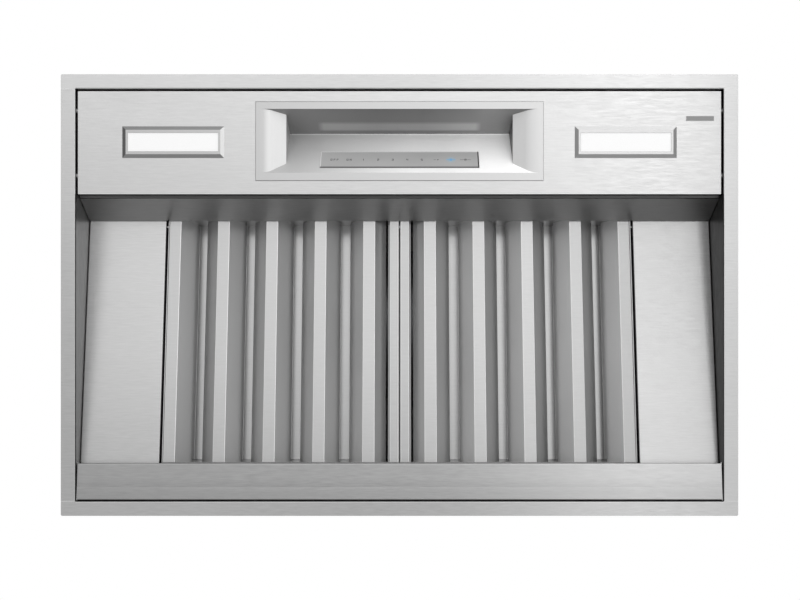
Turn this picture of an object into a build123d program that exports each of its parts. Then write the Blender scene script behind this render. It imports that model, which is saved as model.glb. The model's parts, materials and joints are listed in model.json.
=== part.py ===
"""Range hood insert: a steel liner with control fascia, baffle filters, blower and duct collar.

Millimetres. +Z is up, the user stands at -Y, and the origin is the centre of the flange's underside.
"""
from build123d import *
import math
import os

os.makedirs("parts", exist_ok=True)

# ------------------------------------------------------------------ driving dimensions
# Steel body
body_width = 838.0
body_depth = 534.0
body_height = 318.0
sheet = 1.0
flange_reach = 17.8
top_lip = 15.0
corner_return = 15.0
corner_return_low = 95.0
bend_radius = 0.6
flange_corner = 2.0
flange_seam = 0.3
place_tolerance = 0.01

# Fasteners and wall mounting holes
screw_shank = 1.9
screw_head = 3.6
screw_head_height = 2.0
screw_clearance = 0.1
rivet_shank = 1.6
rivet_head = 3.0
rivet_head_height = 1.0
rivet_length = 3.5
rivet_first_z = 115.0
rivet_rows = 3
cover_screw_columns = 5
cover_screw_rows = 3
cover_screw_end_margin = 60.0
mount_hole_radius = 2.75
mount_hole_spacing_y = 440.0
mount_hole_spacing_z = 200.0
mount_hole_mid_z = 190.0

# Fascia
fascia_gap = 2.0
fascia_depth = 134.1
fascia_z = 3.0
fascia_return = 15.5
fascia_flange = 12.0
fascia_side_return = 12.0
fascia_edge_round = 0.8
fascia_screw_inset = 25.0
fascia_screw_up = 7.2
spacer_radius = 4.0

# Sloped rail behind the fascia
rail_gap = 2.9
rail_run = 27.8
rail_height = 49.5
rail_tab = 15.0
rail_side_gap = 0.8

# Grease tray
tray_depth = 48.1
tray_rear_gap = 1.3
tray_side_gap = 1.0
tray_fold_in = 31.5
tray_lip_z = 6.0
tray_fold_z = 3.2
tray_low_z = 0.6
tray_lip_height = 8.0
tray_lip_lean = 5.0
tray_rear_height = 15.4
tray_tab_width = 30.0
tray_tab_height = 30.0
tray_tab_side_margin = 167.0
tray_tab_clearance = 0.3

# Baffle filters
incline_deg = 8.46
filter_shelf_lap = 5.0
filter_shelf_gap = 0.8
filter_tray_lap = 2.4
filter_side_gap = 3.0
filter_seam = 1.0
filter_thickness = 48.0
filter_sheet = 0.8
frame_sheet = 1.0
rear_plate_sheet = 0.6
baffle_count = 5
baffle_flat = 16.0
baffle_side_run = 18.2
baffle_depth = 27.0
first_baffle_in = 40.5
first_side_run = 14.8
first_side_rise = 11.0
inner_rail_width = 12.1
inner_rail_edge_run = 2.6
inner_rail_edge_rise = 3.0
inner_rail_lip = 14.0
upper_setback = 4.0
baffle_bend = 1.4

# Filter hinge, centre bar and catches
hinge_in = 11.5
hinge_up = 4.5
hinge_pin_radius = 1.5
hinge_clearance = 0.05
hinge_eye_wall = 1.4
hinge_stud_reach = 6.6
ear_gap = 1.5
ear_thickness = 1.5
hanger_thickness = 3.0
hanger_notch = 1.0
hanger_notch_room = 2.0
centre_pin_half = 8.0
bar_width = 24.0
bar_height = 6.0
bar_gap = 2.0
post_gap = 5.0
post_foot = 20.0
rear_rail_reach = 35.0
rear_rail_drop = 18.0
rear_rail_lip = 8.0
rear_rail_clearance = 5.0
catch_sheet = 0.6
catch_width = 22.0
catch_height_on_filter = 16.0
catch_clearance = 0.5
catch_nose_rise = 11.0
catch_tail_run = 3.0
catch_tail_drop = 8.0

# Filler panels
filler_width = 103.9
filler_edge_height = 30.0
filler_wall_flange = 15.0
filler_rear_overlap = 6.0

# Control pod
pod_width = 371.4
pod_depth = 101.5
pod_rear_margin = 18.1
pod_proud = 0.8
pod_edge_round = 0.4
pod_gap = 0.7
pod_back_flange = 6.0
pod_back_thickness = 2.0
pod_wall = 2.5
recess_width = 343.0
recess_front_margin = 9.0
recess_rear_margin = 10.0
recess_depth = 47.8
recess_apex_in = 25.6
wing_run = 24.2
wing_depth = 11.0
wing_blend = 40.0
end_wall_draft = 1.5
glass_width = 207.0
glass_height = 30.8
glass_thickness = 1.8
glass_bevel = 0.5
glass_pocket = 1.2
glass_below_apex = 50.0
glass_clearance = 0.25
glass_corner = 1.2
touch_board_thickness = 1.6
touch_board_margin = 4.0

# Lamps
lamp_side_margin = 57.8
lamp_rear_margin = 67.6
bezel_width = 131.8
bezel_depth = 41.0
bezel_chamfer = 4.8
bezel_proud = 2.4
window_width = 116.6
window_depth = 23.9
window_neck_wall = 1.8
lens_set_back = 0.6
lens_clearance = 0.1
lens_flange = 1.5
lamp_housing_height = 22.0
lamp_housing_wall = 1.2
lamp_housing_gap = 0.6
led_board_thickness = 1.6
led_board_margin = 3.0
led_count = 6
led_size = 5.0
led_height = 1.5

# Blank plate on the fascia
badge_width = 35.3
badge_depth = 5.8
badge_thickness = 0.8
badge_side_margin = 10.0
badge_front_margin = 32.9

# Blower
blower_y = 35.0
scroll_step = 9.0
outlet_inset = 20.4
scroll_top_gap = 9.0
scroll_bar_gap = 5.0
scroll_lip = 12.0
tongue_deg = 75.0
tongue_gap = 8.0
wheel_side_gap = 8.0
blade_depth = 16.0
blade_sweep_deg = 9.0
blade_mid_sweep_deg = 2.7
blade_sheet = 0.8
blade_count = 30
wheel_ring_thickness = 2.0
wheel_ring_overhang = 1.0
wheel_ring_depth = 6.0
hub_plate_thickness = 1.5
hub_radius = 14.0
hub_half_length = 15.0
shaft_radius = 5.0
shaft_clearance = 0.05
hub_clearance = 0.02
shaft_past_hub = 9.0
inlet_clearance = 2.0
inlet_ring_width = 7.0
inlet_ring_thickness = 6.0
inlet_ring_round = 4.0
motor_radius = 45.0
motor_case_length = 60.0
motor_bell_length = 15.0
motor_bell_round = 6.0
motor_boss_radius = 18.0
motor_boss_length = 6.0
motor_gap = 18.0
bracket_ring_width = 20.0
bracket_ring_wall = 3.0
bracket_arm_width = 14.0
bracket_arm_sheet = 2.0
bracket_arm_clearance = 8.0
bracket_foot = 14.0

# Duct collar and back-draught damper
duct_radius = 100.4
collar_height = 50.0
collar_flange = 12.0
flap_axis_up = 16.0
flap_rim_clearance = 1.4
flap_sheet = 1.0
flap_pin_radius = 2.0
flap_knuckle_wall = 1.35
flap_knuckle_gap = 0.8
flap_seat_gap = 0.3
flap_knuckle_length = 30.0
flap_knuckle_spacing = 2.0
knuckle_count = 4
seat_width = 6.0
seat_thickness = 3.5
seat_notch = 8.0
seat_notch_depth = 1.5
seat_clearance = 0.1
damper_pin_inset = 0.25

# Electrical boxes and leads
power_box_width = 140.0
power_box_depth = 90.0
power_box_height = 50.0
power_box_wall_gap = 12.0
power_box_side_gap = 148.0
power_board_rise = 8.0
power_board_margin = 6.0
power_board_thickness = 1.6
power_board_lead_room = 18.0
standoff_radius = 3.0
capacitor_radius = 15.0
capacitor_length = 60.0
junction_width = 120.0
junction_depth = 80.0
junction_height = 60.0
junction_side_gap = 48.0
junction_wall_gap = 26.0
knockout_radius = 11.1
lead_radius = 3.0
lead_bend = 22.0
lead_clearance = 0.5
motor_lead_out = 67.5
motor_lead_in = 18.0
supply_lead_in = 12.0
lamp_lead_spacing = 9.0
lead_rise_above_pod = 6.0

# ------------------------------------------------------------------ derived places
half_width = body_width / 2
half_depth = body_depth / 2
inner_x = half_width - sheet
inner_y = half_depth - sheet
flange_x = half_width + flange_reach
flange_y = half_depth + flange_reach
cover_top = body_height + sheet

fascia_half = inner_x - fascia_gap
fascia_front_y = -inner_y + fascia_gap
fascia_rear_y = fascia_front_y + fascia_depth
fascia_top = fascia_z + sheet
rail_foot_y = fascia_rear_y + rail_gap
rail_foot_z = fascia_z + fascia_return
rail_top_y = rail_foot_y + rail_run
rail_top_z = rail_foot_z + rail_height

tray_half = inner_x - tray_side_gap
tray_rear_y = inner_y - tray_rear_gap
tray_front_y = tray_rear_y - tray_depth
tray_fold_y = tray_front_y + tray_fold_in
tray_tab_x = tray_half - tray_tab_side_margin
tray_tab_top = tray_low_z + tray_rear_height + tray_tab_height

slope = math.radians(incline_deg)
filter_front_y = rail_top_y - filter_shelf_lap
filter_front_z = rail_top_z + filter_shelf_gap + filter_shelf_lap * math.tan(slope)
filter_length = (tray_front_y + filter_tray_lap - filter_front_y) / math.cos(slope)
filter_inner_x = filter_seam / 2
filter_outer_x = inner_x - filler_width - filter_side_gap
filler_inner_x = inner_x - filler_width
baffle_first_x = filter_inner_x + first_baffle_in
baffle_last_x = filter_outer_x - frame_sheet - baffle_flat / 2
baffle_pitch = (baffle_last_x - baffle_first_x) / (baffle_count - 1)
rear_plate_height = baffle_depth + 2 * frame_sheet
rear_plate_lean = math.atan2(upper_setback, filter_thickness - rear_plate_height)
upper_baffle_end = filter_length - upper_setback - rear_plate_sheet / math.cos(rear_plate_lean)

bar_low = filter_thickness + bar_gap
bar_high = bar_low + bar_height
filter_place = Location(
    Plane(
        origin=(0, filter_front_y, filter_front_z),
        x_dir=(1, 0, 0),
        z_dir=(0, math.sin(slope), math.cos(slope)),
    )
)


def filter_point(along, up):
    """World (y, z) of a point on the tilted filter, from its front lower edge."""
    y = filter_front_y + along * math.cos(slope) + up * math.sin(slope)
    z = filter_front_z - along * math.sin(slope) + up * math.cos(slope)
    return y, z


def tilted_z(y, up):
    """World z of the plane that lies `up` above the filters' lower faces, at a given y."""
    return filter_front_z - (y - filter_front_y) * math.tan(slope) + up / math.cos(slope)


hinge_y, hinge_z = filter_point(hinge_in, hinge_up)
swing_radius = math.hypot(filter_length - hinge_in, rear_plate_height - hinge_up)


def swing_reach(z):
    """How far back the filter's rear edge sweeps at height z."""
    return hinge_y + math.sqrt(swing_radius**2 - (hinge_z - z) ** 2)


rear_rail_top = tilted_z(inner_y, bar_low) - rear_rail_clearance
rear_rail_front_y = inner_y - rear_rail_reach

# Scroll: quarter arcs about the corners of a square, sized to the room under the cover
scroll_floor_z = tilted_z(blower_y + scroll_step / 2, bar_high)
scroll_room = (body_height - scroll_top_gap - scroll_floor_z) * math.cos(slope)
arc_top_left = (scroll_room - scroll_step - scroll_bar_gap) / (1 + math.cos(slope))
arc_tongue = arc_top_left - scroll_step
arc_low_left = arc_top_left + scroll_step
arc_low_right = arc_low_left + scroll_step
blower_z = body_height - scroll_top_gap - arc_top_left + scroll_step / 2
wheel_radius = arc_tongue - tongue_gap
scroll_half = duct_radius - outlet_inset
wheel_half = scroll_half - wheel_side_gap
inlet_radius = wheel_radius - blade_depth - inlet_clearance
scroll_side_x = scroll_half + sheet
tongue_y = blower_y - scroll_step / 2 + arc_tongue * math.cos(math.radians(tongue_deg))
scroll_rear_y = blower_y + scroll_step / 2 + arc_low_right
motor_front_x = -scroll_side_x - motor_gap
motor_case_x = motor_front_x - motor_bell_length
motor_case_end_x = motor_case_x - motor_case_length
motor_rear_x = motor_case_end_x - motor_bell_length

duct_y = (tongue_y + scroll_rear_y) / 2
duct_inner = duct_radius - sheet
flap_axis_z = cover_top + flap_axis_up
flap_knuckle = flap_pin_radius + hinge_clearance + flap_knuckle_wall

pod_rear_y = fascia_rear_y - pod_rear_margin
pod_front_y = pod_rear_y - pod_depth
pod_face_z = fascia_z - pod_proud
recess_front_y = pod_front_y + recess_front_margin
recess_rear_y = pod_rear_y - recess_rear_margin
recess_apex_y = recess_front_y + recess_apex_in
recess_apex_z = pod_face_z + recess_depth
lamp_x = fascia_half - lamp_side_margin - bezel_width / 2
lamp_y = fascia_rear_y - lamp_rear_margin

power_box_x = -(inner_x - power_box_side_gap - power_box_width / 2)
power_box_front_y = -inner_y + power_box_wall_gap
power_box_rear_y = power_box_front_y + power_box_depth
power_box_top = rail_top_z + power_box_height
junction_x = inner_x - junction_side_gap - junction_width / 2
junction_front_y = -inner_y + junction_wall_gap
junction_mid_y = junction_front_y + junction_depth / 2
junction_low_z = body_height - junction_height
lead_level_z = recess_apex_z + pod_wall + lead_rise_above_pod


# ------------------------------------------------------------------ helpers
def block(x_low, x_high, y_low, y_high, z_low, z_high):
    """Box between two opposite corners."""
    middle = ((x_low + x_high) / 2, (y_low + y_high) / 2, (z_low + z_high) / 2)
    return Pos(*middle) * Box(x_high - x_low, y_high - y_low, z_high - z_low)


def rod(radius, start, end):
    """Round bar between two points."""
    start = Vector(*start)
    end = Vector(*end)
    return extrude(Plane(origin=start, z_dir=end - start) * Circle(radius), (end - start).length)


def tube(outer, inner, start, end):
    """Round tube between two points."""
    return rod(outer, start, end) - rod(inner, start, end)


def rounded_face(corners):
    """Flat face from (x, y, radius) corners, where each radius rounds its corner."""
    count = len(corners)
    starts = []
    middles = []
    ends = []
    for index in range(count):
        here = Vector(corners[index][0], corners[index][1])
        before = Vector(*corners[index - 1][:2])
        after = Vector(*corners[(index + 1) % count][:2])
        to_before = (before - here).normalized()
        to_after = (after - here).normalized()
        radius = corners[index][2]
        if radius <= 0:
            starts.append(here)
            middles.append(None)
            ends.append(here)
            continue
        half_angle = math.radians(to_before.get_angle(to_after)) / 2
        bisector = (to_before + to_after).normalized()
        starts.append(here + to_before * (radius / math.tan(half_angle)))
        middles.append(here + bisector * (radius / math.sin(half_angle) - radius))
        ends.append(here + to_after * (radius / math.tan(half_angle)))
    edges = []
    for index in range(count):
        edges.append(Line(ends[index - 1], starts[index]))
        if middles[index] is not None:
            edges.append(ThreePointArc(starts[index], middles[index], ends[index]))
    return make_face(edges)


def beside(points, distance):
    """Mitred copy of an open path, moved to its left by a distance."""
    normals = []
    for first, second in zip(points, points[1:]):
        run = (second[0] - first[0], second[1] - first[1])
        length = math.hypot(*run)
        normals.append((-run[1] / length, run[0] / length))
    moved = []
    for index, point in enumerate(points):
        before = normals[max(index - 1, 0)]
        after = normals[min(index, len(normals) - 1)]
        scale = distance / (1 + before[0] * after[0] + before[1] * after[1])
        moved.append((point[0] + (before[0] + after[0]) * scale, point[1] + (before[1] + after[1]) * scale))
    return moved


def folded(points, thickness, inside_bend):
    """Section of a folded sheet along an open path, with the sheet on the path's left."""
    far = beside(points, thickness)
    near_corners = [(points[0][0], points[0][1], 0)]
    far_corners = [(far[0][0], far[0][1], 0)]
    for index in range(1, len(points) - 1):
        before = (points[index][0] - points[index - 1][0], points[index][1] - points[index - 1][1])
        after = (points[index + 1][0] - points[index][0], points[index + 1][1] - points[index][1])
        turns_left = before[0] * after[1] - before[1] * after[0] > 0
        near_bend = inside_bend + thickness if turns_left else inside_bend
        far_bend = inside_bend if turns_left else inside_bend + thickness
        near_corners.append((points[index][0], points[index][1], near_bend))
        far_corners.append((far[index][0], far[index][1], far_bend))
    near_corners.append((points[-1][0], points[-1][1], 0))
    far_corners.append((far[-1][0], far[-1][1], 0))
    return rounded_face(near_corners + far_corners[::-1])


def along_x(section, x_low, x_high):
    """Solid from a (y, z) section drawn between two x values."""
    plane = Plane(origin=(x_low, 0, 0), x_dir=(0, 1, 0), z_dir=(1, 0, 0))
    return extrude(plane * section, x_high - x_low)


def along_y(section, y_low, y_high):
    """Solid from an (x, z) section drawn between two y values."""
    plane = Plane(origin=(0, y_high, 0), x_dir=(1, 0, 0), z_dir=(0, -1, 0))
    return extrude(plane * section, y_high - y_low)


def polygon(points):
    """Flat face with sharp corners."""
    return rounded_face([(point[0], point[1], 0) for point in points])


def screw(head_centre, direction, length):
    """Pan-head screw: its head lies against the surface at head_centre."""
    centre = Vector(*head_centre)
    inward = Vector(*direction)
    head = rod(screw_head, centre - inward * screw_head_height, centre)
    return head + rod(screw_shank, centre, centre + inward * length)


def edges_at(shape, direction, x, y, z):
    """Edges along an axis whose middle has the given distances from the origin's planes, None for any."""
    found = []
    for edge in shape.edges().filter_by(direction):
        middle = edge.center()
        pairs = ((middle.X, x), (middle.Y, y), (middle.Z, z))
        if all(wanted is None or abs(abs(value) - wanted) < place_tolerance for value, wanted in pairs):
            found.append(edge)
    return found


def other_side(shape):
    """Mirror image across the middle of the hood."""
    return mirror(shape, about=Plane.YZ)


written = {}


def write(name, shape):
    """Keep a node's solids and write them as one STEP file."""
    solids = shape.solids() if hasattr(shape, "solids") else [s for item in shape for s in item.solids()]
    node = solids[0] if len(solids) == 1 else Compound(children=list(solids))
    node.label = name
    written[name] = node
    export_step(node, f"parts/{name}.step")


# ------------------------------------------------------------------ body shells
def spread(low, high, count):
    """Evenly spaced values from low to high."""
    return [low + (high - low) * index / (count - 1) for index in range(count)]


cover_screw_half_x = inner_x - cover_screw_end_margin
cover_screw_half_y = inner_y - cover_screw_end_margin
cover_screw_x = spread(-cover_screw_half_x, cover_screw_half_x, cover_screw_columns)
cover_screw_y = spread(-cover_screw_half_y, cover_screw_half_y, cover_screw_rows)
cover_screw_spots = []
for x in cover_screw_x:
    cover_screw_spots.append((x, -inner_y + top_lip / 2))
    cover_screw_spots.append((x, inner_y - top_lip / 2))
for y in cover_screw_y:
    cover_screw_spots.append((-inner_x + top_lip / 2, y))
    cover_screw_spots.append((inner_x - top_lip / 2, y))

cover_screw_length = 3 * sheet + screw_head_height
cover_screw_holes = [
    rod(screw_shank + screw_clearance, (x, y, body_height - 2 * sheet), (x, y, cover_top + sheet))
    for x, y in cover_screw_spots
]
write(
    "cover_screws",
    [screw((x, y, cover_top), (0, 0, -1), cover_screw_length) for x, y in cover_screw_spots],
)

rivet_z = spread(rivet_first_z, body_height - rivet_first_z + corner_return_low, rivet_rows)
rivet_x = inner_x - corner_return / 2
rivets = []
rivet_holes = []
for x in (-rivet_x, rivet_x):
    for way in (-1, 1):
        for z in rivet_z:
            outside = (x, way * half_depth, z)
            tip = (x, way * (half_depth - rivet_length), z)
            head_end = (x, way * (half_depth + rivet_head_height), z)
            rivets.append(rod(rivet_head, head_end, outside) + rod(rivet_shank, outside, tip))
            rivet_holes.append(rod(rivet_shank + screw_clearance, head_end, tip))
write("shell_rivets", rivets)


def wall_section(inside, outside):
    """Folded section of a wall: in-turned top lip, wall, and out-turned flange with a rounded bend."""
    path = [
        (inside - top_lip, body_height - sheet),
        (inside, body_height - sheet),
        (inside, 0),
        (outside, 0),
    ]
    return folded(path, sheet, bend_radius)


def rear_end_shell():
    """Rear wall with its flange strip, which runs past the walls to the flange's corners."""
    shell = along_x(wall_section(inner_y, flange_y), -inner_x, inner_x)
    for x_low, x_high in ((-flange_x, -inner_x), (inner_x, flange_x)):
        shell += block(x_low, x_high, inner_y, flange_y, 0, sheet)
    for x_low, x_high in ((-half_width, -inner_x), (inner_x, half_width)):
        shell += block(x_low, x_high, inner_y, half_depth, 0, body_height)
    shell = fillet(edges_at(shell, Axis.Z, flange_x, flange_y, None), flange_corner)
    return shell - cover_screw_holes - rivet_holes


fascia_screw_y = (fascia_front_y + fascia_screw_inset, fascia_rear_y - fascia_screw_inset)
fascia_screw_z = fascia_z + fascia_screw_up
fascia_screw_spots = [(y, fascia_screw_z) for y in fascia_screw_y]
side_holes = []
for y, z in fascia_screw_spots:
    reach = half_width + sheet
    side_holes.append(rod(screw_shank + screw_clearance, (-reach, y, z), (reach, y, z)))
mount_holes = []
for y in (-mount_hole_spacing_y / 2, mount_hole_spacing_y / 2):
    for z in (mount_hole_mid_z - mount_hole_spacing_z / 2, mount_hole_mid_z + mount_hole_spacing_z / 2):
        reach = half_width + sheet
        mount_holes.append(rod(mount_hole_radius, (-reach, y, z), (reach, y, z)))


def right_side_shell():
    """Right wall with its flange, top lip and the returns that lie against the end walls."""
    shell = along_y(wall_section(inner_x, flange_x), -inner_y, inner_y)
    for way in (-1, 1):
        seam = sorted((way * inner_y, way * (inner_y - flange_seam)))
        shell -= block(half_width, flange_x + sheet, seam[0], seam[1], -sheet, 2 * sheet)
        lip_end = sorted((way * inner_y, way * (inner_y - top_lip)))
        shell -= block(
            inner_x - top_lip - sheet, inner_x, lip_end[0], lip_end[1], body_height - 2 * sheet, body_height
        )
        return_y = sorted((way * inner_y, way * (inner_y - sheet)))
        return_top = body_height - sheet - bend_radius
        shell += block(
            inner_x - corner_return, inner_x, return_y[0], return_y[1], corner_return_low, return_top
        )
    return shell - cover_screw_holes - rivet_holes - side_holes - mount_holes


right_shell = right_side_shell()
rear_shell = rear_end_shell()
write("rear_shell", rear_shell)
write("front_shell", mirror(rear_shell, about=Plane.XZ))
write("right_shell", right_shell)
write("left_shell", other_side(right_shell))

outlet_cut = block(
    -scroll_half, scroll_half, tongue_y + sheet, scroll_rear_y - sheet, body_height - sheet, cover_top + sheet
)
knockout_cut = rod(
    knockout_radius,
    (junction_x, junction_mid_y, body_height - sheet),
    (junction_x, junction_mid_y, cover_top + sheet),
)
top_cover = block(-half_width, half_width, -half_depth, half_depth, body_height, cover_top)
write("top_cover", top_cover - outlet_cut - knockout_cut - cover_screw_holes)

# ------------------------------------------------------------------ fascia and sloped rail
fascia_path = [
    (fascia_front_y, rail_foot_z),
    (fascia_front_y, fascia_z),
    (fascia_rear_y, fascia_z),
    (fascia_rear_y, rail_foot_z),
    (fascia_rear_y - fascia_flange, rail_foot_z),
]
pod_cut = block(
    -pod_width / 2 - pod_gap,
    pod_width / 2 + pod_gap,
    pod_front_y - pod_gap,
    pod_rear_y + pod_gap,
    fascia_z - sheet,
    fascia_top + sheet,
)
neck_half_x = window_width / 2 + window_neck_wall
neck_half_y = window_depth / 2 + window_neck_wall
lamp_cut = block(
    lamp_x - neck_half_x - lens_clearance,
    lamp_x + neck_half_x + lens_clearance,
    lamp_y - neck_half_y - lens_clearance,
    lamp_y + neck_half_y + lens_clearance,
    fascia_z - sheet,
    fascia_top + sheet,
)
side_return = block(
    fascia_half - sheet,
    fascia_half,
    fascia_front_y + 2 * sheet,
    fascia_rear_y - fascia_flange - sheet,
    fascia_z,
    fascia_z + fascia_side_return,
)
fascia = along_x(folded(fascia_path, sheet, bend_radius), -fascia_half, fascia_half)
fascia = fascia + side_return + other_side(side_return)
fascia = fillet(edges_at(fascia, Axis.Y, fascia_half, None, fascia_z), fascia_edge_round)
write("fascia_panel", fascia - pod_cut - lamp_cut - other_side(lamp_cut) - side_holes)

spacers = []
fascia_screws = []
for way in (-1, 1):
    for y, z in fascia_screw_spots:
        wall_face = (way * inner_x, y, z)
        return_face = (way * fascia_half, y, z)
        spacers.append(tube(spacer_radius, screw_shank + screw_clearance, return_face, wall_face))
        screw_length = 2 * sheet + fascia_gap + screw_head_height
        fascia_screws.append(screw((way * half_width, y, z), (-way, 0, 0), screw_length))
write("fascia_spacers", spacers)
write("fascia_screws", fascia_screws)

rail_path = [
    (fascia_rear_y - fascia_flange, rail_foot_z),
    (rail_foot_y, rail_foot_z),
    (rail_top_y, rail_top_z),
    (-inner_y + sheet, rail_top_z),
    (-inner_y + sheet, rail_top_z + rail_tab),
]
lamp_lead_x = power_box_x
lamp_lead_hole = rod(
    lead_radius + lead_clearance,
    (lamp_lead_x, lamp_y, rail_top_z - 2 * sheet),
    (lamp_lead_x, lamp_y, rail_top_z + 2 * sheet),
)
second_lead_hole = Pos(lamp_lead_spacing, 0, 0) * lamp_lead_hole
rail_half = inner_x - rail_side_gap
front_rail = along_x(folded(rail_path, sheet, bend_radius), -rail_half, rail_half)
write("front_rail", front_rail - lamp_lead_hole - second_lead_hole)

badge_right_x = fascia_half - badge_side_margin
badge_front_y = fascia_front_y + badge_front_margin
write(
    "badge_plate",
    block(
        badge_right_x - badge_width,
        badge_right_x,
        badge_front_y,
        badge_front_y + badge_depth,
        fascia_z - badge_thickness,
        fascia_z,
    ),
)

# ------------------------------------------------------------------ control pod
depth_path = [
    (recess_front_y, pod_face_z),
    (recess_apex_y, recess_apex_z),
    (recess_rear_y, pod_face_z),
]
end_x = recess_width / 2
wing_x = end_x - wing_run
wing_z = pod_face_z + wing_depth
apex_x = wing_x - end_wall_draft
below_face = pod_face_z - pod_wall


def recess_space(grow):
    """The recess, or its outside when grown by the wall: a trough section cut by the end wings."""
    trough = beside(depth_path, grow)
    rise = trough[0][1] - pod_face_z
    trough_face = polygon(
        [(trough[0][0], below_face - rise), *trough, (trough[2][0], below_face - rise)]
    )
    top_z = recess_apex_z + grow + pod_wall
    blend = wing_blend if grow == 0 else 0
    wings = rounded_face(
        [
            (-pod_width, below_face, 0),
            (-pod_width, pod_face_z, 0),
            (-end_x - grow, pod_face_z, blend),
            (-wing_x - grow, wing_z + grow, 0),
            (-apex_x - grow, top_z, 0),
            (apex_x + grow, top_z, 0),
            (wing_x + grow, wing_z + grow, 0),
            (end_x + grow, pod_face_z, blend),
            (pod_width, pod_face_z, 0),
            (pod_width, below_face, 0),
        ]
    )
    return along_x(trough_face, -pod_width, pod_width) & along_y(wings, -pod_width, pod_width)


slope_run = recess_rear_y - recess_apex_y
slope_length = math.hypot(slope_run, recess_depth)
slope_dir = Vector(0, slope_run / slope_length, -recess_depth / slope_length)
glass_mid = Vector(0, recess_apex_y, recess_apex_z) + slope_dir * glass_below_apex
into_wall = slope_dir.cross(Vector(1, 0, 0)) * -1
glass_place = Location(Plane(origin=glass_mid, x_dir=(1, 0, 0), z_dir=into_wall))


def slope_plate(width, height, low, high, corner):
    """Plate parallel to the display slope, between two depths measured from its surface into the wall."""
    return glass_place * (Pos(0, 0, low) * extrude(RectangleRounded(width, height, corner), high - low))


pod_frame = block(-pod_width / 2, pod_width / 2, pod_front_y, pod_rear_y, pod_face_z, fascia_top)
pod_frame = fillet(pod_frame.faces().sort_by(Axis.Z)[0].edges(), pod_edge_round)
pod_back = block(
    -pod_width / 2 - pod_back_flange,
    pod_width / 2 + pod_back_flange,
    pod_front_y - pod_back_flange,
    pod_rear_y + pod_back_flange,
    fascia_top,
    fascia_top + pod_back_thickness,
)
pod_shell = recess_space(pod_wall) & block(
    -pod_width, pod_width, -pod_width, 0, fascia_top, recess_apex_z + pod_wall
)
glass_cut = slope_plate(
    glass_width + 2 * glass_clearance,
    glass_height + 2 * glass_clearance,
    -glass_pocket,
    glass_pocket,
    glass_corner,
)
write("control_pod", pod_frame + pod_back + pod_shell - recess_space(0) - glass_cut)
glass_face = glass_pocket - glass_thickness
glass_plate = extrude(RectangleRounded(glass_width, glass_height, glass_corner), glass_thickness)
glass_plate = chamfer(glass_plate.faces().sort_by(Axis.Z)[0].edges(), glass_bevel)
write("display_glass", glass_place * (Pos(0, 0, glass_face) * glass_plate))
touch_board = slope_plate(
    glass_width - 2 * touch_board_margin,
    glass_height - 2 * touch_board_margin,
    pod_wall,
    pod_wall + touch_board_thickness,
    glass_corner,
)
write("touch_board", touch_board)

# ------------------------------------------------------------------ lamps
bezel_low_z = fascia_z - bezel_proud
lens_low_z = bezel_low_z + lens_set_back
neck_top_z = fascia_top + window_neck_wall


def box_about(width, depth, z_low, z_high):
    """Box centred on the lamp, between two heights."""
    return block(-width / 2, width / 2, -depth / 2, depth / 2, z_low, z_high)


def lamp_bezel():
    """Chamfered frame that stands proud of the fascia, with a neck that passes through it."""
    foot = Pos(0, 0, fascia_z) * Rectangle(bezel_width, bezel_depth)
    land = Pos(0, 0, bezel_low_z) * Rectangle(
        bezel_width - 2 * bezel_chamfer, bezel_depth - 2 * bezel_chamfer
    )
    neck = box_about(2 * neck_half_x, 2 * neck_half_y, fascia_z, neck_top_z)
    window = box_about(window_width, window_depth, bezel_low_z - sheet, neck_top_z + sheet)
    return loft([land.face(), foot.face()]) + neck - window


def lamp_lens():
    """Diffuser that fills the window and rests on the neck by its flange."""
    width = window_width - 2 * lens_clearance
    depth = window_depth - 2 * lens_clearance
    pane = box_about(width, depth, lens_low_z, neck_top_z)
    flange_width = 2 * (neck_half_x - lens_clearance)
    flange_depth = 2 * (neck_half_y - lens_clearance)
    return pane + box_about(flange_width, flange_depth, neck_top_z, neck_top_z + lens_flange)


housing_top_z = fascia_top + lamp_housing_height
housing_in_x = neck_half_x + lamp_housing_gap
housing_in_y = neck_half_y + lamp_housing_gap


def lamp_housing():
    """Box behind the fascia, open towards the lens."""
    out_x = housing_in_x + lamp_housing_wall
    out_y = housing_in_y + lamp_housing_wall
    outside = box_about(2 * out_x, 2 * out_y, fascia_top, housing_top_z)
    hollow_top_z = housing_top_z - lamp_housing_wall
    return outside - box_about(2 * housing_in_x, 2 * housing_in_y, fascia_top - sheet, hollow_top_z)


def led_board():
    """Board against the housing's top with a row of light sources under it."""
    board_top_z = housing_top_z - lamp_housing_wall
    board_low_z = board_top_z - led_board_thickness
    board_width = 2 * (housing_in_x - led_board_margin)
    board = box_about(board_width, 2 * (housing_in_y - led_board_margin), board_low_z, board_top_z)
    for x in spread(-board_width / 2 + 2 * led_size, board_width / 2 - 2 * led_size, led_count):
        board += Pos(x, 0, 0) * box_about(led_size, led_size, board_low_z - led_height, board_low_z)
    return board


lamp_place = Pos(lamp_x, lamp_y, 0)
for lamp_name, lamp_shape in (("lamp_bezel", lamp_bezel()), ("lamp_lens", lamp_lens())):
    write("right_" + lamp_name, lamp_place * lamp_shape)
    write("left_" + lamp_name, other_side(lamp_place * lamp_shape))
for pair_name, lamp_shape in (("lamp_housings", lamp_housing()), ("led_boards", led_board())):
    write(pair_name, [lamp_place * lamp_shape, other_side(lamp_place * lamp_shape)])

# ------------------------------------------------------------------ filler panels
filler_end = (tray_front_y + filler_rear_overlap - filter_front_y) / math.cos(slope)


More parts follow.
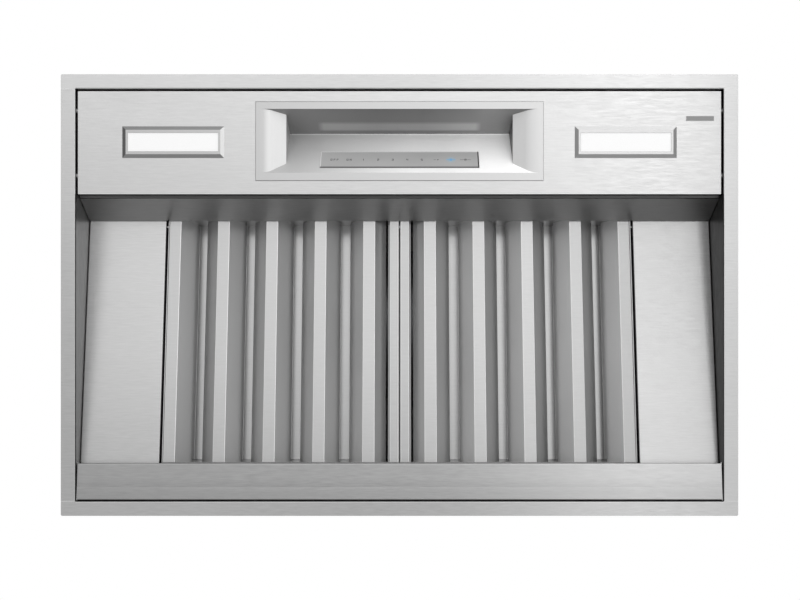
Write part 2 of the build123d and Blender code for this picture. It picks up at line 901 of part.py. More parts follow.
def filler_panel():
    """Panel beside the filter, with an upturned edge that carries the hinge stud and a wall flange."""
    path = [
        (filler_inner_x, filler_edge_height),
        (filler_inner_x, 0),
        (inner_x, 0),
        (inner_x, filler_wall_flange),
    ]
    panel = filter_place * along_y(folded(path, sheet, bend_radius), 0, filler_end)
    stud_hole = rod(
        hinge_pin_radius + hinge_clearance,
        (filler_inner_x - sheet, hinge_y, hinge_z),
        (filler_inner_x + 2 * sheet, hinge_y, hinge_z),
    )
    return panel - stud_hole


right_filler = filler_panel()
write("right_filler_panel", right_filler)
write("left_filler_panel", other_side(right_filler))

# ------------------------------------------------------------------ centre bar, rear rail and catches
hanger_half = hanger_thickness / 2
eye_radius = hinge_pin_radius + hinge_clearance + hinge_eye_wall
centre_pin_hole = rod(
    hinge_pin_radius + hinge_clearance, (-bar_width, hinge_y, hinge_z), (bar_width, hinge_y, hinge_z)
)


def centre_bar():
    """Channel above the filters' seam, its front post on the shelf and the hanger for the centre pin."""
    half = bar_width / 2
    path = [(half, bar_low), (half, bar_high), (-half, bar_high), (-half, bar_low)]
    post_y = filter_front_y - post_gap
    bar_start = (post_y - sheet - filter_front_y - bar_high * math.sin(slope)) / math.cos(slope)
    bar_end = (inner_y + bar_width - filter_front_y) / math.cos(slope)
    channel = filter_place * along_y(folded(path, sheet, bend_radius), bar_start, bar_end)
    channel = channel & block(-half, half, -inner_y, inner_y, 0, body_height)
    post_top = tilted_z(post_y, bar_high) - sheet
    post_path = [
        (post_y - post_foot, rail_top_z),
        (post_y, rail_top_z),
        (post_y, post_top),
    ]
    post = along_x(folded(post_path, sheet, bend_radius), -half + sheet, half - sheet)
    hanger = block(
        -hanger_half, hanger_half, hinge_in - eye_radius, hinge_in + eye_radius, hinge_up, bar_high - sheet
    )
    eye = rod(eye_radius, (-hanger_half, hinge_y, hinge_z), (hanger_half, hinge_y, hinge_z))
    return channel + post + filter_place * hanger + eye - centre_pin_hole


write("centre_bar", centre_bar())
write(
    "hinge_centre_pin",
    rod(hinge_pin_radius, (-centre_pin_half, hinge_y, hinge_z), (centre_pin_half, hinge_y, hinge_z)),
)

rear_rail_path = [
    (rear_rail_front_y, rear_rail_top - rear_rail_lip),
    (rear_rail_front_y, rear_rail_top),
    (inner_y, rear_rail_top),
    (inner_y, rear_rail_top - rear_rail_drop),
]
rear_rail_face = folded(rear_rail_path[::-1], sheet, bend_radius)
write("rear_rail", along_x(rear_rail_face, -inner_x, inner_x))

catch_nose_z = filter_point(filter_length, catch_height_on_filter)[1]
catch_nose_y = swing_reach(catch_nose_z) + catch_clearance
catch_path = [
    (rear_rail_front_y, rear_rail_top),
    (rear_rail_front_y, catch_nose_z + catch_nose_rise),
    (catch_nose_y, catch_nose_z),
    (catch_nose_y + catch_tail_run, catch_nose_z - catch_tail_drop),
]
catch_face = folded(catch_path[::-1], catch_sheet, bend_radius)
filter_middle_x = (filter_inner_x + filter_outer_x) / 2
write(
    "filter_catches",
    [
        along_x(catch_face, way * filter_middle_x - catch_width / 2, way * filter_middle_x + catch_width / 2)
        for way in (-1, 1)
    ],
)


# ------------------------------------------------------------------ baffle filters
def filter_frame():
    """Right filter's welded frame: inner rail, outer plate, end plates and hinge stud."""
    profile = [
        (0, 0),
        (filter_length, 0),
        (filter_length, rear_plate_height),
        (filter_length - upper_setback, filter_thickness),
        (0, filter_thickness),
    ]
    outer = along_x(polygon(profile), filter_outer_x - frame_sheet, filter_outer_x)
    rail_end = filter_inner_x + inner_rail_width
    edge_x = rail_end + inner_rail_edge_run
    rail_section = [
        (filter_inner_x, filter_thickness),
        (filter_inner_x, 0),
        (rail_end, 0),
        (edge_x, inner_rail_edge_rise),
        (edge_x, inner_rail_lip),
    ]
    rail = along_y(folded(rail_section, frame_sheet, bend_radius), 0, filter_length)
    rail = rail & along_x(polygon(profile), filter_inner_x, edge_x)
    notch_end = hinge_in + eye_radius + hanger_notch_room
    notch_side = hanger_half + hanger_notch
    rail -= block(0, notch_side, -sheet, notch_end, frame_sheet, filter_thickness + sheet)
    top_flange = block(
        filter_inner_x,
        rail_end,
        notch_end,
        filter_length - upper_setback,
        filter_thickness - frame_sheet,
        filter_thickness,
    )
    front_plate = block(notch_side, filter_outer_x, 0, frame_sheet, 0, filter_thickness)
    rear_path = [
        (filter_length, 0),
        (filter_length, rear_plate_height),
        (filter_length - upper_setback, filter_thickness),
    ]
    rear_plate = along_x(folded(rear_path, rear_plate_sheet, bend_radius), filter_inner_x, filter_outer_x)
    ear_x = hanger_half + ear_gap
    ear = block(ear_x, ear_x + ear_thickness, 0, hinge_in, 0, hinge_up + eye_radius)
    ear += block(ear_x, ear_x + ear_thickness, 0, hinge_in + eye_radius, 0, hinge_up)
    ear += rod(eye_radius, (ear_x, hinge_in, hinge_up), (ear_x + ear_thickness, hinge_in, hinge_up))
    ear -= rod(
        hinge_pin_radius + hinge_clearance, (0, hinge_in, hinge_up), (filter_outer_x, hinge_in, hinge_up)
    )
    stud = rod(
        hinge_pin_radius,
        (filter_outer_x - frame_sheet / 2, hinge_in, hinge_up),
        (filter_outer_x + hinge_stud_reach, hinge_in, hinge_up),
    )
    frame = outer + rail + top_flange + front_plate + rear_plate + ear + stud
    return filter_place * frame


def hat(centre_x, left, right, inverted, length):
    """One baffle channel: a flat and two sloped sides, each given by its run and its rise."""
    half_flat = baffle_flat / 2
    path = [
        (centre_x - half_flat - left[0], left[1]),
        (centre_x - half_flat, 0),
        (centre_x + half_flat, 0),
        (centre_x + half_flat + right[0], right[1]),
    ]
    if inverted:
        path = [(x, filter_thickness - z) for x, z in path[::-1]]
    section = folded(path, filter_sheet, baffle_bend - filter_sheet)
    return filter_place * along_y(section, frame_sheet, length)


full_side = (baffle_side_run, baffle_depth)
baffle_centres = [baffle_first_x + baffle_pitch * index for index in range(baffle_count)]


def lower_baffles():
    """The visible row of channels, with a shallow first side and an upright last one."""
    length = filter_length - rear_plate_sheet
    first_side = (first_side_run, first_side_rise)
    last_side = (0, baffle_depth)
    row = []
    for index, centre_x in enumerate(baffle_centres):
        left = first_side if index == 0 else full_side
        right = last_side if index == baffle_count - 1 else full_side
        row.append(hat(centre_x, left, right, False, length))
    return row


def upper_baffles():
    """The hidden row of channels, turned over and centred on the gaps of the lower row."""
    row = []
    for centre_x in baffle_centres[:-1]:
        gap_x = centre_x + baffle_pitch / 2
        row.append(hat(gap_x, full_side, full_side, True, upper_baffle_end))
    return row


for part_name, right_shapes in (
    ("frame", [filter_frame()]),
    ("lower_baffles", lower_baffles()),
    ("upper_baffles", upper_baffles()),
):
    write("filter_right_" + part_name, right_shapes)
    write("filter_left_" + part_name, [other_side(shape) for shape in right_shapes])


# ------------------------------------------------------------------ grease tray
def grease_tray():
    """Shallow trough under the filters' rear ends, with two tabs that hang in spring clips."""
    path = [
        (tray_front_y + tray_lip_lean, tray_lip_z + tray_lip_height),
        (tray_front_y, tray_lip_z),
        (tray_fold_y, tray_fold_z),
        (tray_rear_y, tray_low_z),
        (tray_rear_y, tray_low_z + tray_rear_height),
    ]
    trough = along_x(folded(path, sheet, bend_radius), -tray_half, tray_half)
    rim_z = tray_lip_z + tray_lip_height
    end_face = polygon(path[:-1] + [(tray_rear_y, rim_z)])
    ends = along_x(end_face, tray_half - sheet, tray_half)
    tray = trough + ends + other_side(ends)
    for x in (-tray_tab_x, tray_tab_x):
        tray += block(
            x - tray_tab_width / 2,
            x + tray_tab_width / 2,
            tray_rear_y - sheet,
            tray_rear_y,
            tray_low_z + tray_rear_height / 2,
            tray_tab_top,
        )
    return tray


write("grease_tray", grease_tray())

clip_rear_y = tray_rear_y - sheet - tray_tab_clearance
clip_path = [
    (clip_rear_y, tray_low_z + tray_rear_height + 2 * sheet),
    (clip_rear_y, rear_rail_top - sheet),
    (clip_rear_y - rear_rail_lip, rear_rail_top - sheet),
]
clip_face = folded(clip_path, sheet, bend_radius)
write(
    "tray_clips",
    [
        along_x(clip_face, x - tray_tab_width / 2, x + tray_tab_width / 2)
        for x in (-tray_tab_x, tray_tab_x)
    ],
)


# ------------------------------------------------------------------ blower scroll
def scroll_face(inset, top_z):
    """The scroll's side outline, moved inwards by inset, with its outlet cut off at top_z."""
    step = scroll_step / 2
    tongue_centre = (blower_y - step, blower_z + step)
    left_centre = (blower_y - step, blower_z - step)
    low_centre = (blower_y + step, blower_z - step)
    right_centre = (blower_y + step, blower_z + step)
    start_y = tongue_y + inset
    start_angle = math.acos((start_y - tongue_centre[0]) / (arc_tongue - inset))

    def on_arc(centre, radius, angle):
        return (centre[0] + radius * math.cos(angle), centre[1] + radius * math.sin(angle))

    quarter = math.pi / 2
    arcs = [
        (tongue_centre, arc_tongue - inset, start_angle, quarter),
        (left_centre, arc_top_left - inset, quarter, 2 * quarter),
        (low_centre, arc_low_left - inset, 2 * quarter, 3 * quarter),
        (right_centre, arc_low_right - inset, 3 * quarter, 4 * quarter),
    ]
    edges = []
    for centre, radius, first, last in arcs:
        middle = on_arc(centre, radius, (first + last) / 2)
        edges.append(ThreePointArc(on_arc(centre, radius, first), middle, on_arc(centre, radius, last)))
    rear_y = scroll_rear_y - inset
    edges.append(Line((rear_y, right_centre[1]), (rear_y, top_z)))
    edges.append(Line((rear_y, top_z), (start_y, top_z)))
    edges.append(Line((start_y, top_z), on_arc(tongue_centre, arc_tongue - inset, start_angle)))
    return make_face(edges)


def scroll_wrap():
    """Curved strip of the scroll, with lips that are fastened under the cover."""
    outside = along_x(scroll_face(0, body_height), -scroll_half, scroll_half)
    inside = along_x(scroll_face(sheet, body_height + sheet), -scroll_side_x, scroll_side_x)
    lip_z = body_height - sheet
    front_lip = block(-scroll_half, scroll_half, tongue_y - scroll_lip, tongue_y, lip_z, body_height)
    rear_lip = block(
        -scroll_half, scroll_half, scroll_rear_y, scroll_rear_y + scroll_lip, lip_z, body_height
    )
    return outside - inside + front_lip + rear_lip


def scroll_right_side():
    """Flat side of the scroll with the round inlet."""
    plate = along_x(scroll_face(0, body_height), scroll_half, scroll_side_x)
    inlet = rod(inlet_radius, (0, blower_y, blower_z), (body_width, blower_y, blower_z))
    lip = block(
        scroll_side_x, scroll_side_x + scroll_lip, tongue_y, scroll_rear_y, body_height - sheet, body_height
    )
    return plate + lip - inlet


def right_inlet_ring():
    """Rounded mouth ring on the outside of an inlet."""
    ring = tube(
        inlet_radius + inlet_ring_width,
        inlet_radius,
        (scroll_side_x, blower_y, blower_z),
        (scroll_side_x + inlet_ring_thickness, blower_y, blower_z),
    )
    mouth = ring.edges().filter_by(GeomType.CIRCLE).group_by(Axis.X)[-1].sort_by(SortBy.LENGTH)[0]
    return fillet(mouth, inlet_ring_round)


write("scroll_wrap", scroll_wrap())
right_side = scroll_right_side()
write("scroll_right_side", right_side)
write("scroll_left_side", other_side(right_side))
inlet_ring = right_inlet_ring()
write("inlet_rings", [inlet_ring, other_side(inlet_ring)])


# ------------------------------------------------------------------ blower wheel, shaft and motor
def on_axis(x):
    """Point on the blower's axis."""
    return (x, blower_y, blower_z)


hub_plate_half = hub_plate_thickness / 2
hub_plate = rod(wheel_radius - blade_sheet, on_axis(-hub_plate_half), on_axis(hub_plate_half))
hub = rod(hub_radius, on_axis(-hub_half_length), on_axis(hub_half_length))
hub_bore = rod(
    shaft_radius + hub_clearance, on_axis(-hub_half_length - sheet), on_axis(hub_half_length + sheet)
)
write("wheel_hub_plate", hub_plate + hub - hub_bore)

right_ring = tube(
    wheel_radius + wheel_ring_overhang,
    wheel_radius - wheel_ring_depth,
    on_axis(wheel_half - wheel_ring_thickness),
    on_axis(wheel_half),
)
write("wheel_rings", [right_ring, other_side(right_ring)])

blade_inner = wheel_radius - blade_depth
blade_middle = wheel_radius - blade_depth / 2
blade_end_x = wheel_half - wheel_ring_thickness


def blade(turn_deg):
    """One forward-curved blade on the right half of the wheel."""
    path = []
    for radius, sweep in (
        (blade_inner, 0),
        (blade_middle, blade_mid_sweep_deg),
        (wheel_radius - blade_sheet, blade_sweep_deg),
    ):
        angle = math.radians(turn_deg + sweep)
        path.append((blower_y + radius * math.cos(angle), blower_z + radius * math.sin(angle)))
    section = polygon(path + beside(path, blade_sheet)[::-1])
    return along_x(section, hub_plate_half, blade_end_x)


right_blades = [blade(360 * index / blade_count) for index in range(blade_count)]
write("wheel_blades", right_blades + [other_side(shape) for shape in right_blades])

shaft_start_x = motor_case_x
shaft_end_x = hub_half_length + shaft_past_hub
write("motor_shaft", rod(shaft_radius, on_axis(shaft_start_x), on_axis(shaft_end_x)))

motor_case = rod(motor_radius, on_axis(motor_case_end_x), on_axis(motor_case_x))
write("motor_case", motor_case)


def motor_bell(face_x, back_x, way, bored):
    """Motor end cover with its bearing boss; way points away from the case."""
    bell = rod(motor_radius, on_axis(back_x), on_axis(face_x))
    rim = bell.edges().filter_by(GeomType.CIRCLE).sort_by(Axis.X)[-1 if way > 0 else 0]
    bell = fillet(rim, motor_bell_round)
    bell += rod(motor_boss_radius, on_axis(face_x), on_axis(face_x + way * motor_boss_length))
    if bored:
        far = way * (motor_boss_length + sheet)
        bell -= rod(shaft_radius + shaft_clearance, on_axis(back_x - way * sheet), on_axis(face_x + far))
    return bell


write("motor_front_bell", motor_bell(motor_front_x, motor_case_x, 1, True))
write("motor_rear_bell", motor_bell(motor_rear_x, motor_case_end_x, -1, False))


def motor_bracket():
    """Clamp ring about the motor with three arms to the scroll's side."""
    ring_mid_x = (motor_case_x + motor_case_end_x) / 2
    ring_low_x = ring_mid_x - bracket_ring_width / 2
    ring_high_x = ring_mid_x + bracket_ring_width / 2
    ring_outer = motor_radius + bracket_ring_wall
    bracket = tube(ring_outer, motor_radius, on_axis(ring_low_x), on_axis(ring_high_x))
    arm_out = inlet_radius + inlet_ring_width + bracket_arm_clearance + bracket_foot / 2
    half = bracket_arm_width / 2
    arm_low_x = ring_mid_x - bracket_arm_sheet / 2
    spoke = block(
        arm_low_x, arm_low_x + bracket_arm_sheet, -half, half, ring_outer - bracket_ring_wall / 2, arm_out
    )
    leg = block(arm_low_x, -scroll_side_x, -half, half, arm_out - bracket_arm_sheet, arm_out)
    foot = block(
        -scroll_side_x - bracket_arm_sheet, -scroll_side_x, -half, half, arm_out - bracket_foot, arm_out
    )
    arm = spoke + leg + foot
    for turn in (60, 180, 300):
        bracket += Pos(0, blower_y, blower_z) * (Rot(turn, 0, 0) * arm)
    return bracket


write("motor_bracket", motor_bracket())


# ------------------------------------------------------------------ duct collar and damper
def at_duct(x, z):
    """Point on the damper's hinge plane."""
    return (x, duct_y, z)


collar_low_z = cover_top + sheet
collar_flange_radius = duct_radius + collar_flange
base_ring = tube(collar_flange_radius, duct_inner, at_duct(0, cover_top), at_duct(0, collar_low_z))
write("duct_collar_flange", base_ring)
collar = tube(duct_radius, duct_inner, at_duct(0, collar_low_z), at_duct(0, cover_top + collar_height))
flap_bore = rod(
    flap_pin_radius + hinge_clearance,
    at_duct(-duct_radius - sheet, flap_axis_z),
    at_duct(duct_radius + sheet, flap_axis_z),
)
collar -= flap_bore
write("duct_collar", collar)

pin_half = duct_radius - damper_pin_inset
write("damper_pin", rod(flap_pin_radius, at_duct(-pin_half, flap_axis_z), at_duct(pin_half, flap_axis_z)))

flap_low_z = flap_axis_z - flap_sheet / 2
flap_high_z = flap_axis_z + flap_sheet / 2
seat_top_z = flap_low_z - flap_seat_gap
seat = tube(
    duct_inner - seat_clearance,
    duct_inner - seat_width,
    at_duct(0, seat_top_z - seat_thickness),
    at_duct(0, seat_top_z),
)
seat -= block(
    -duct_radius,
    duct_radius,
    duct_y - seat_notch / 2,
    duct_y + seat_notch / 2,
    seat_top_z - seat_notch_depth,
    seat_top_z + sheet,
)
write("damper_seat", seat)

flap_radius = duct_inner - flap_rim_clearance
flap_edge = flap_knuckle + flap_knuckle_gap


def damper_flap(way, starts):
    """Half-round flap on the front (way -1) or rear (way +1) of the pin, with two knuckles."""
    disc = rod(flap_radius, at_duct(0, flap_low_z), at_duct(0, flap_high_z))
    y_range = sorted((duct_y + way * flap_edge, duct_y + way * duct_radius))
    flap = disc & block(-duct_radius, duct_radius, y_range[0], y_range[1], flap_low_z, flap_high_z)
    for start in starts:
        end = start + flap_knuckle_length
        web_y = sorted((duct_y, duct_y + way * (flap_edge + sheet)))
        flap += block(start, end, web_y[0], web_y[1], flap_low_z, flap_high_z)
        flap += rod(flap_knuckle, at_duct(start, flap_axis_z), at_duct(end, flap_axis_z))
    return flap - flap_bore


knuckle_step = flap_knuckle_length + flap_knuckle_spacing
first_knuckle = -knuckle_count / 2 * knuckle_step + flap_knuckle_spacing / 2
knuckle_starts = [first_knuckle + knuckle_step * index for index in range(knuckle_count)]
write("damper_front_flap", damper_flap(-1, knuckle_starts[0::2]))
write("damper_rear_flap", damper_flap(1, knuckle_starts[1::2]))


# ------------------------------------------------------------------ electrical boxes and leads
def open_box(x_low, x_high, y_low, y_high, z_low, z_high, floor):
    """Thin-walled box, open at the top, and at the bottom too when it has no floor."""
    hollow_low = z_low + sheet if floor else z_low - sheet
    outside = block(x_low, x_high, y_low, y_high, z_low, z_high)
    return outside - block(
        x_low + sheet, x_high - sheet, y_low + sheet, y_high - sheet, hollow_low, z_high + sheet
    )


power_low_x = power_box_x - power_box_width / 2
power_high_x = power_box_x + power_box_width / 2
supply_y = power_box_front_y + supply_lead_in
supply_z = rail_top_z + power_box_height / 2
motor_lead_y = power_box_rear_y - motor_lead_in
lead_hole = lead_radius + lead_clearance

power_box = open_box(
    power_low_x, power_high_x, power_box_front_y, power_box_rear_y, rail_top_z, power_box_top, True
)
power_box -= [lamp_lead_hole, second_lead_hole]
power_box -= rod(lead_hole, (power_box_x, supply_y, supply_z), (power_high_x + sheet, supply_y, supply_z))
write("power_box", power_box)

power_lid = block(
    power_low_x, power_high_x, power_box_front_y, power_box_rear_y, power_box_top, power_box_top + sheet
)
power_lid -= rod(
    lead_hole,
    (power_box_x, motor_lead_y, power_box_top - sheet),
    (power_box_x, motor_lead_y, power_box_top + 2 * sheet),
)
write("power_box_lid", power_lid)

board_low_z = rail_top_z + sheet + power_board_rise
board_front_y = power_box_front_y + power_board_margin + power_board_lead_room
power_board = block(
    power_low_x + power_board_margin,
    power_box_x - power_board_margin,
    board_front_y,
    power_box_rear_y - power_board_margin,
    board_low_z,
    board_low_z + power_board_thickness,
)
for x in (power_low_x + 3 * power_board_margin, power_box_x - 3 * power_board_margin):
    for y in (board_front_y + 2 * power_board_margin, power_box_rear_y - 3 * power_board_margin):
        power_board += rod(standoff_radius, (x, y, rail_top_z + sheet), (x, y, board_low_z))
power_board += block(
    power_low_x + 3 * power_board_margin,
    power_box_x - 4 * power_board_margin,
    board_front_y + 3 * power_board_margin,
    power_box_rear_y - 4 * power_board_margin,
    board_low_z + power_board_thickness,
    power_box_top - 2 * power_board_rise,
)
write("power_board", power_board)

capacitor_x = power_high_x - sheet - capacitor_radius - power_board_margin
capacitor_z = rail_top_z + sheet + capacitor_radius
capacitor_rear_y = power_box_rear_y - sheet
write(
    "capacitor",
    rod(
        capacitor_radius,
        (capacitor_x, capacitor_rear_y - capacitor_length, capacitor_z),
        (capacitor_x, capacitor_rear_y, capacitor_z),
    ),
)

junction_low_x = junction_x - junction_width / 2
junction_high_x = junction_x + junction_width / 2
junction_rear_y = junction_front_y + junction_depth
write(
    "junction_box",
    open_box(
        junction_low_x, junction_high_x, junction_front_y, junction_rear_y, junction_low_z, body_height, False
    ),
)
junction_cover = block(
    junction_low_x, junction_high_x, junction_front_y, junction_rear_y, junction_low_z - sheet, junction_low_z
)
supply_end = (junction_low_x + supply_lead_in, junction_front_y + supply_lead_in)
junction_cover -= rod(
    lead_hole, (*supply_end, junction_low_z - 2 * sheet), (*supply_end, junction_low_z + sheet)
)
write("junction_cover", junction_cover)


def lead(points, bends):
    """Round cable along straight runs joined by arcs of the given radii."""
    path = FilletPolyline(*points, radius=bends)
    start = Vector(*points[0])
    run = Vector(*points[1]) - start
    return sweep(Plane(origin=start, z_dir=run) * Circle(lead_radius), path=path)


motor_lead_x = (motor_case_x + motor_case_end_x) / 2 - bracket_ring_width
motor_lead = lead(
    [
        (motor_lead_x, blower_y - motor_radius, blower_z),
        (motor_lead_x, blower_y - motor_radius - motor_lead_out, blower_z),
        (power_box_x, motor_lead_y, blower_z - motor_radius),
        (power_box_x, motor_lead_y, power_box_top - 2 * sheet),
    ],
    [lead_bend, lead_bend],
)
leads = [motor_lead - motor_case]
for way, hole_shift in ((-1, 0), (1, lamp_lead_spacing)):
    lamp_lead_route = [
        (way * lamp_x, lamp_y, housing_top_z),
        (way * lamp_x, lamp_y, lead_level_z),
        (lamp_lead_x + hole_shift, lamp_y, lead_level_z),
        (lamp_lead_x + hole_shift, lamp_y, rail_top_z + 4 * sheet),
    ]
    leads.append(lead(lamp_lead_route, [lead_radius * 2, lead_radius * 2]))
supply_route = [
    (power_high_x - 2 * sheet, supply_y, supply_z),
    (supply_end[0], supply_y, supply_z),
    (supply_end[0], supply_end[1], junction_low_z - lead_bend),
    (*supply_end, junction_low_z + 2 * sheet),
]
leads.append(lead(supply_route, [lead_bend, lead_bend / 2]))
write("wiring_leads", leads)

print(len(written), "nodes")
print("filter hinge at y", round(hinge_y, 4), "z", round(hinge_z, 4))
print("wheel axis at z", round(blower_z, 4), "duct axis at y", round(duct_y, 4))
print("baffle pitch", round(baffle_pitch, 3), "wheel radius", round(wheel_radius, 3))
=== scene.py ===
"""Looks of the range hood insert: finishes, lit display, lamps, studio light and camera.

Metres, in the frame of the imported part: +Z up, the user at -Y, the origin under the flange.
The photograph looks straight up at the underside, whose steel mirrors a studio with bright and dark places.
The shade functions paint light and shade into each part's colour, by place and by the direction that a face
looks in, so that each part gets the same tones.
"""
import json
import math

import bpy
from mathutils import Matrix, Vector


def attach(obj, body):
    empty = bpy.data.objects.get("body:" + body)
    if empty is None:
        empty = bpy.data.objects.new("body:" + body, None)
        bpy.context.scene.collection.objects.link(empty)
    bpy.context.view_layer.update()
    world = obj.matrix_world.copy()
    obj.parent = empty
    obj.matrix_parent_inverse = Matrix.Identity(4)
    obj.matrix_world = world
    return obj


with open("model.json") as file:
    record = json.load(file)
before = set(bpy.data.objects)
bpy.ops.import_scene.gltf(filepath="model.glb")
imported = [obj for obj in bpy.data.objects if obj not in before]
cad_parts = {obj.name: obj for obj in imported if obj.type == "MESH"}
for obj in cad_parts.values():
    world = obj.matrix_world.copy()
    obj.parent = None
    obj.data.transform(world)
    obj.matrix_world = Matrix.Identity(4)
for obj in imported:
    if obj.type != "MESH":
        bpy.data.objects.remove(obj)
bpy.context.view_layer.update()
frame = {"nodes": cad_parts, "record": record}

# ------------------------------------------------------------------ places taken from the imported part


def corners(node_name):
    """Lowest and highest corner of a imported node."""
    spots = [vertex.co for vertex in frame["nodes"][node_name].data.vertices]
    low = Vector([min(spot[axis] for spot in spots) for axis in range(3)])
    high = Vector([max(spot[axis] for spot in spots) for axis in range(3)])
    return low, high


COVER_LOW, BODY_HALF = corners("top_cover")
SHEET = BODY_HALF.z - COVER_LOW.z
FASCIA_REAR = corners("fascia_panel")[1].y
RAIL_BOTTOM = corners("front_rail")[0].z
GLASS_LOW, GLASS_HIGH = corners("display_glass")

# ------------------------------------------------------------------ helpers for node materials
NOISE_LOW = 0.3
NOISE_HIGH = 0.7
SOFT_DETAIL = 1.0
GRAIN_DETAIL = 2.0
MOTTLE_DETAIL = 3.0


def new_material(name):
    """Empty node material with its output and a principled shader."""
    material = bpy.data.materials.new(name)
    material.use_nodes = True
    tree = material.node_tree
    tree.nodes.clear()
    output = tree.nodes.new("ShaderNodeOutputMaterial")
    shader = tree.nodes.new("ShaderNodeBsdfPrincipled")
    tree.links.new(shader.outputs["BSDF"], output.inputs["Surface"])
    return material, tree, shader


def component(tree, output, axis):
    """One component of a texture coordinate."""
    place = tree.nodes.new("ShaderNodeTexCoord")
    split = tree.nodes.new("ShaderNodeSeparateXYZ")
    tree.links.new(place.outputs[output], split.inputs["Vector"])
    return split.outputs[axis]


def position(tree, axis):
    """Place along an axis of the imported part."""
    return component(tree, "Object", axis)


def facing(tree, axis):
    """How far a face looks along an axis, from -1 to 1."""
    return component(tree, "Normal", axis)


def stretched_noise(tree, scale, detail):
    """Noise in object space with its own scale along each axis."""
    place = tree.nodes.new("ShaderNodeTexCoord")
    mapping = tree.nodes.new("ShaderNodeMapping")
    mapping.inputs["Scale"].default_value = scale
    noise = tree.nodes.new("ShaderNodeTexNoise")
    noise.inputs["Scale"].default_value = 1.0
    noise.inputs["Detail"].default_value = detail
    noise.inputs["Roughness"].default_value = 0.5
    tree.links.new(place.outputs["Object"], mapping.inputs["Vector"])
    tree.links.new(mapping.outputs["Vector"], noise.inputs["Vector"])
    return noise.outputs["Fac"]


def remap(tree, value, low, high, start=NOISE_LOW, end=NOISE_HIGH):
    """Value stretched from a start and end to a low and high, and kept between these."""
    node = tree.nodes.new("ShaderNodeMapRange")
    node.inputs["From Min"].default_value = start
    node.inputs["From Max"].default_value = end
    node.inputs["To Min"].default_value = low
    node.inputs["To Max"].default_value = high
    tree.links.new(value, node.inputs["Value"])
    return node.outputs["Result"]


def varied(tree, noise, middle, spread):
    """Number that a noise varies about a middle."""
    return remap(tree, noise, middle - spread, middle + spread)


def rising(tree, value, start, end):
    """0 up to a start and 1 from an end on."""
    return remap(tree, value, 0.0, 1.0, start, end)


def falling(tree, value, start, end):
    """1 up to a start and 0 from an end on."""
    return remap(tree, value, 1.0, 0.0, start, end)


def around(place, softness):
    """Start and end of a soft step at a place."""
    return place - softness, place + softness


def magnitude(tree, value):
    """A number without its sign."""
    node = tree.nodes.new("ShaderNodeMath")
    node.operation = "ABSOLUTE"
    tree.links.new(value, node.inputs[0])
    return node.outputs["Value"]


def combined(tree, operation, first, *others):
    """Numbers put together one after another."""
    result = first
    for value in others:
        node = tree.nodes.new("ShaderNodeMath")
        node.operation = operation
        tree.links.new(result, node.inputs[0])
        tree.links.new(value, node.inputs[1])
        result = node.outputs["Value"]
    return result


def product(tree, *values):
    """Numbers multiplied."""
    return combined(tree, "MULTIPLY", *values)


def largest(tree, *values):
    """The largest of some numbers."""
    return combined(tree, "MAXIMUM", *values)


def smallest(tree, *values):
    """The smallest of some numbers."""
    return combined(tree, "MINIMUM", *values)


def within(tree, value, start, full, still, end):
    """1 between full and still, and 0 before the start and after the end."""
    return product(tree, rising(tree, value, start, full), falling(tree, value, still, end))


def blended(tree, share, first, second):
    """Number between two others."""
    node = tree.nodes.new("ShaderNodeMix")
    tree.links.new(share, node.inputs["Factor"])
    tree.links.new(first, node.inputs["A"])
    tree.links.new(second, node.inputs["B"])
    return node.outputs["Result"]


def toned(tree, share, tone):
    """1, or a fixed tone where the share is 1."""
    return remap(tree, share, 1.0, tone, 0.0, 1.0)


def toned_by(tree, share, tone):
    """1, or a tone that varies where the share is 1."""
    node = tree.nodes.new("ShaderNodeMix")
    node.inputs["A"].default_value = 1.0
    tree.links.new(share, node.inputs["Factor"])
    tree.links.new(tone, node.inputs["B"])
    return node.outputs["Result"]


def tinted(tree, value, tint=(1, 1, 1)):
    """Colour from a brightness and a tint."""
    node = tree.nodes.new("ShaderNodeMix")
    node.data_type = "RGBA"
    node.blend_type = "MULTIPLY"
    node.inputs["Factor"].default_value = 1.0
    node.inputs["A"].default_value = (*tint, 1)
    tree.links.new(value, node.inputs["B"])
    return node.outputs["Result"]


def blended_colour(tree, share, first, second):
    """Colour between a texture's and a plain one."""
    node = tree.nodes.new("ShaderNodeMix")
    node.data_type = "RGBA"
    node.inputs["B"].default_value = (*second, 1)
    tree.links.new(share, node.inputs["Factor"])
    tree.links.new(first, node.inputs["A"])
    return node.outputs["Result"]


def bump(tree, shader, height, distance, strength):
    """Bump from a height texture."""
    node = tree.nodes.new("ShaderNodeBump")
    node.inputs["Strength"].default_value = strength
    node.inputs["Distance"].default_value = distance
    tree.links.new(height, node.inputs["Height"])
    tree.links.new(node.outputs["Normal"], shader.inputs["Normal"])


# ------------------------------------------------------------------ tones of the parts: painted light and shade
# A tone multiplies the part's base colour and paints light or shade into it. Places are in metres, and leans
# are components of a face's normal.
# A ramp lists its first and last tone, and then the places or leans where it has them.
# A band lists where it starts, where it is full, until where it stays full and where it ends.
# A pair lists where a step starts and where it is complete.

# Body walls: painted shade in their bends, on their inner faces and on the middle of the front and rear
# flanges
SIDE_LEAN = (0.7, 0.8)
# Painted shade in the bends from the walls into their flanges
BEND_BAND = (0.0002, 0.0004, 0.0022, 0.0050)
BEND_SHADE = 0.22
# Painted shade on the middle of the front and rear flanges
FLANGE_HEIGHT = (0.0020, 0.0040)
FLANGE_MIDDLE_RAMP = (0.92, 1.0, 0.05, 0.25)
# Painted shade on the inner faces of the side walls, stronger on the right wall, where less light falls
LEFT_INNER_SHADE = 0.46
RIGHT_INNER_SHADE = 0.13
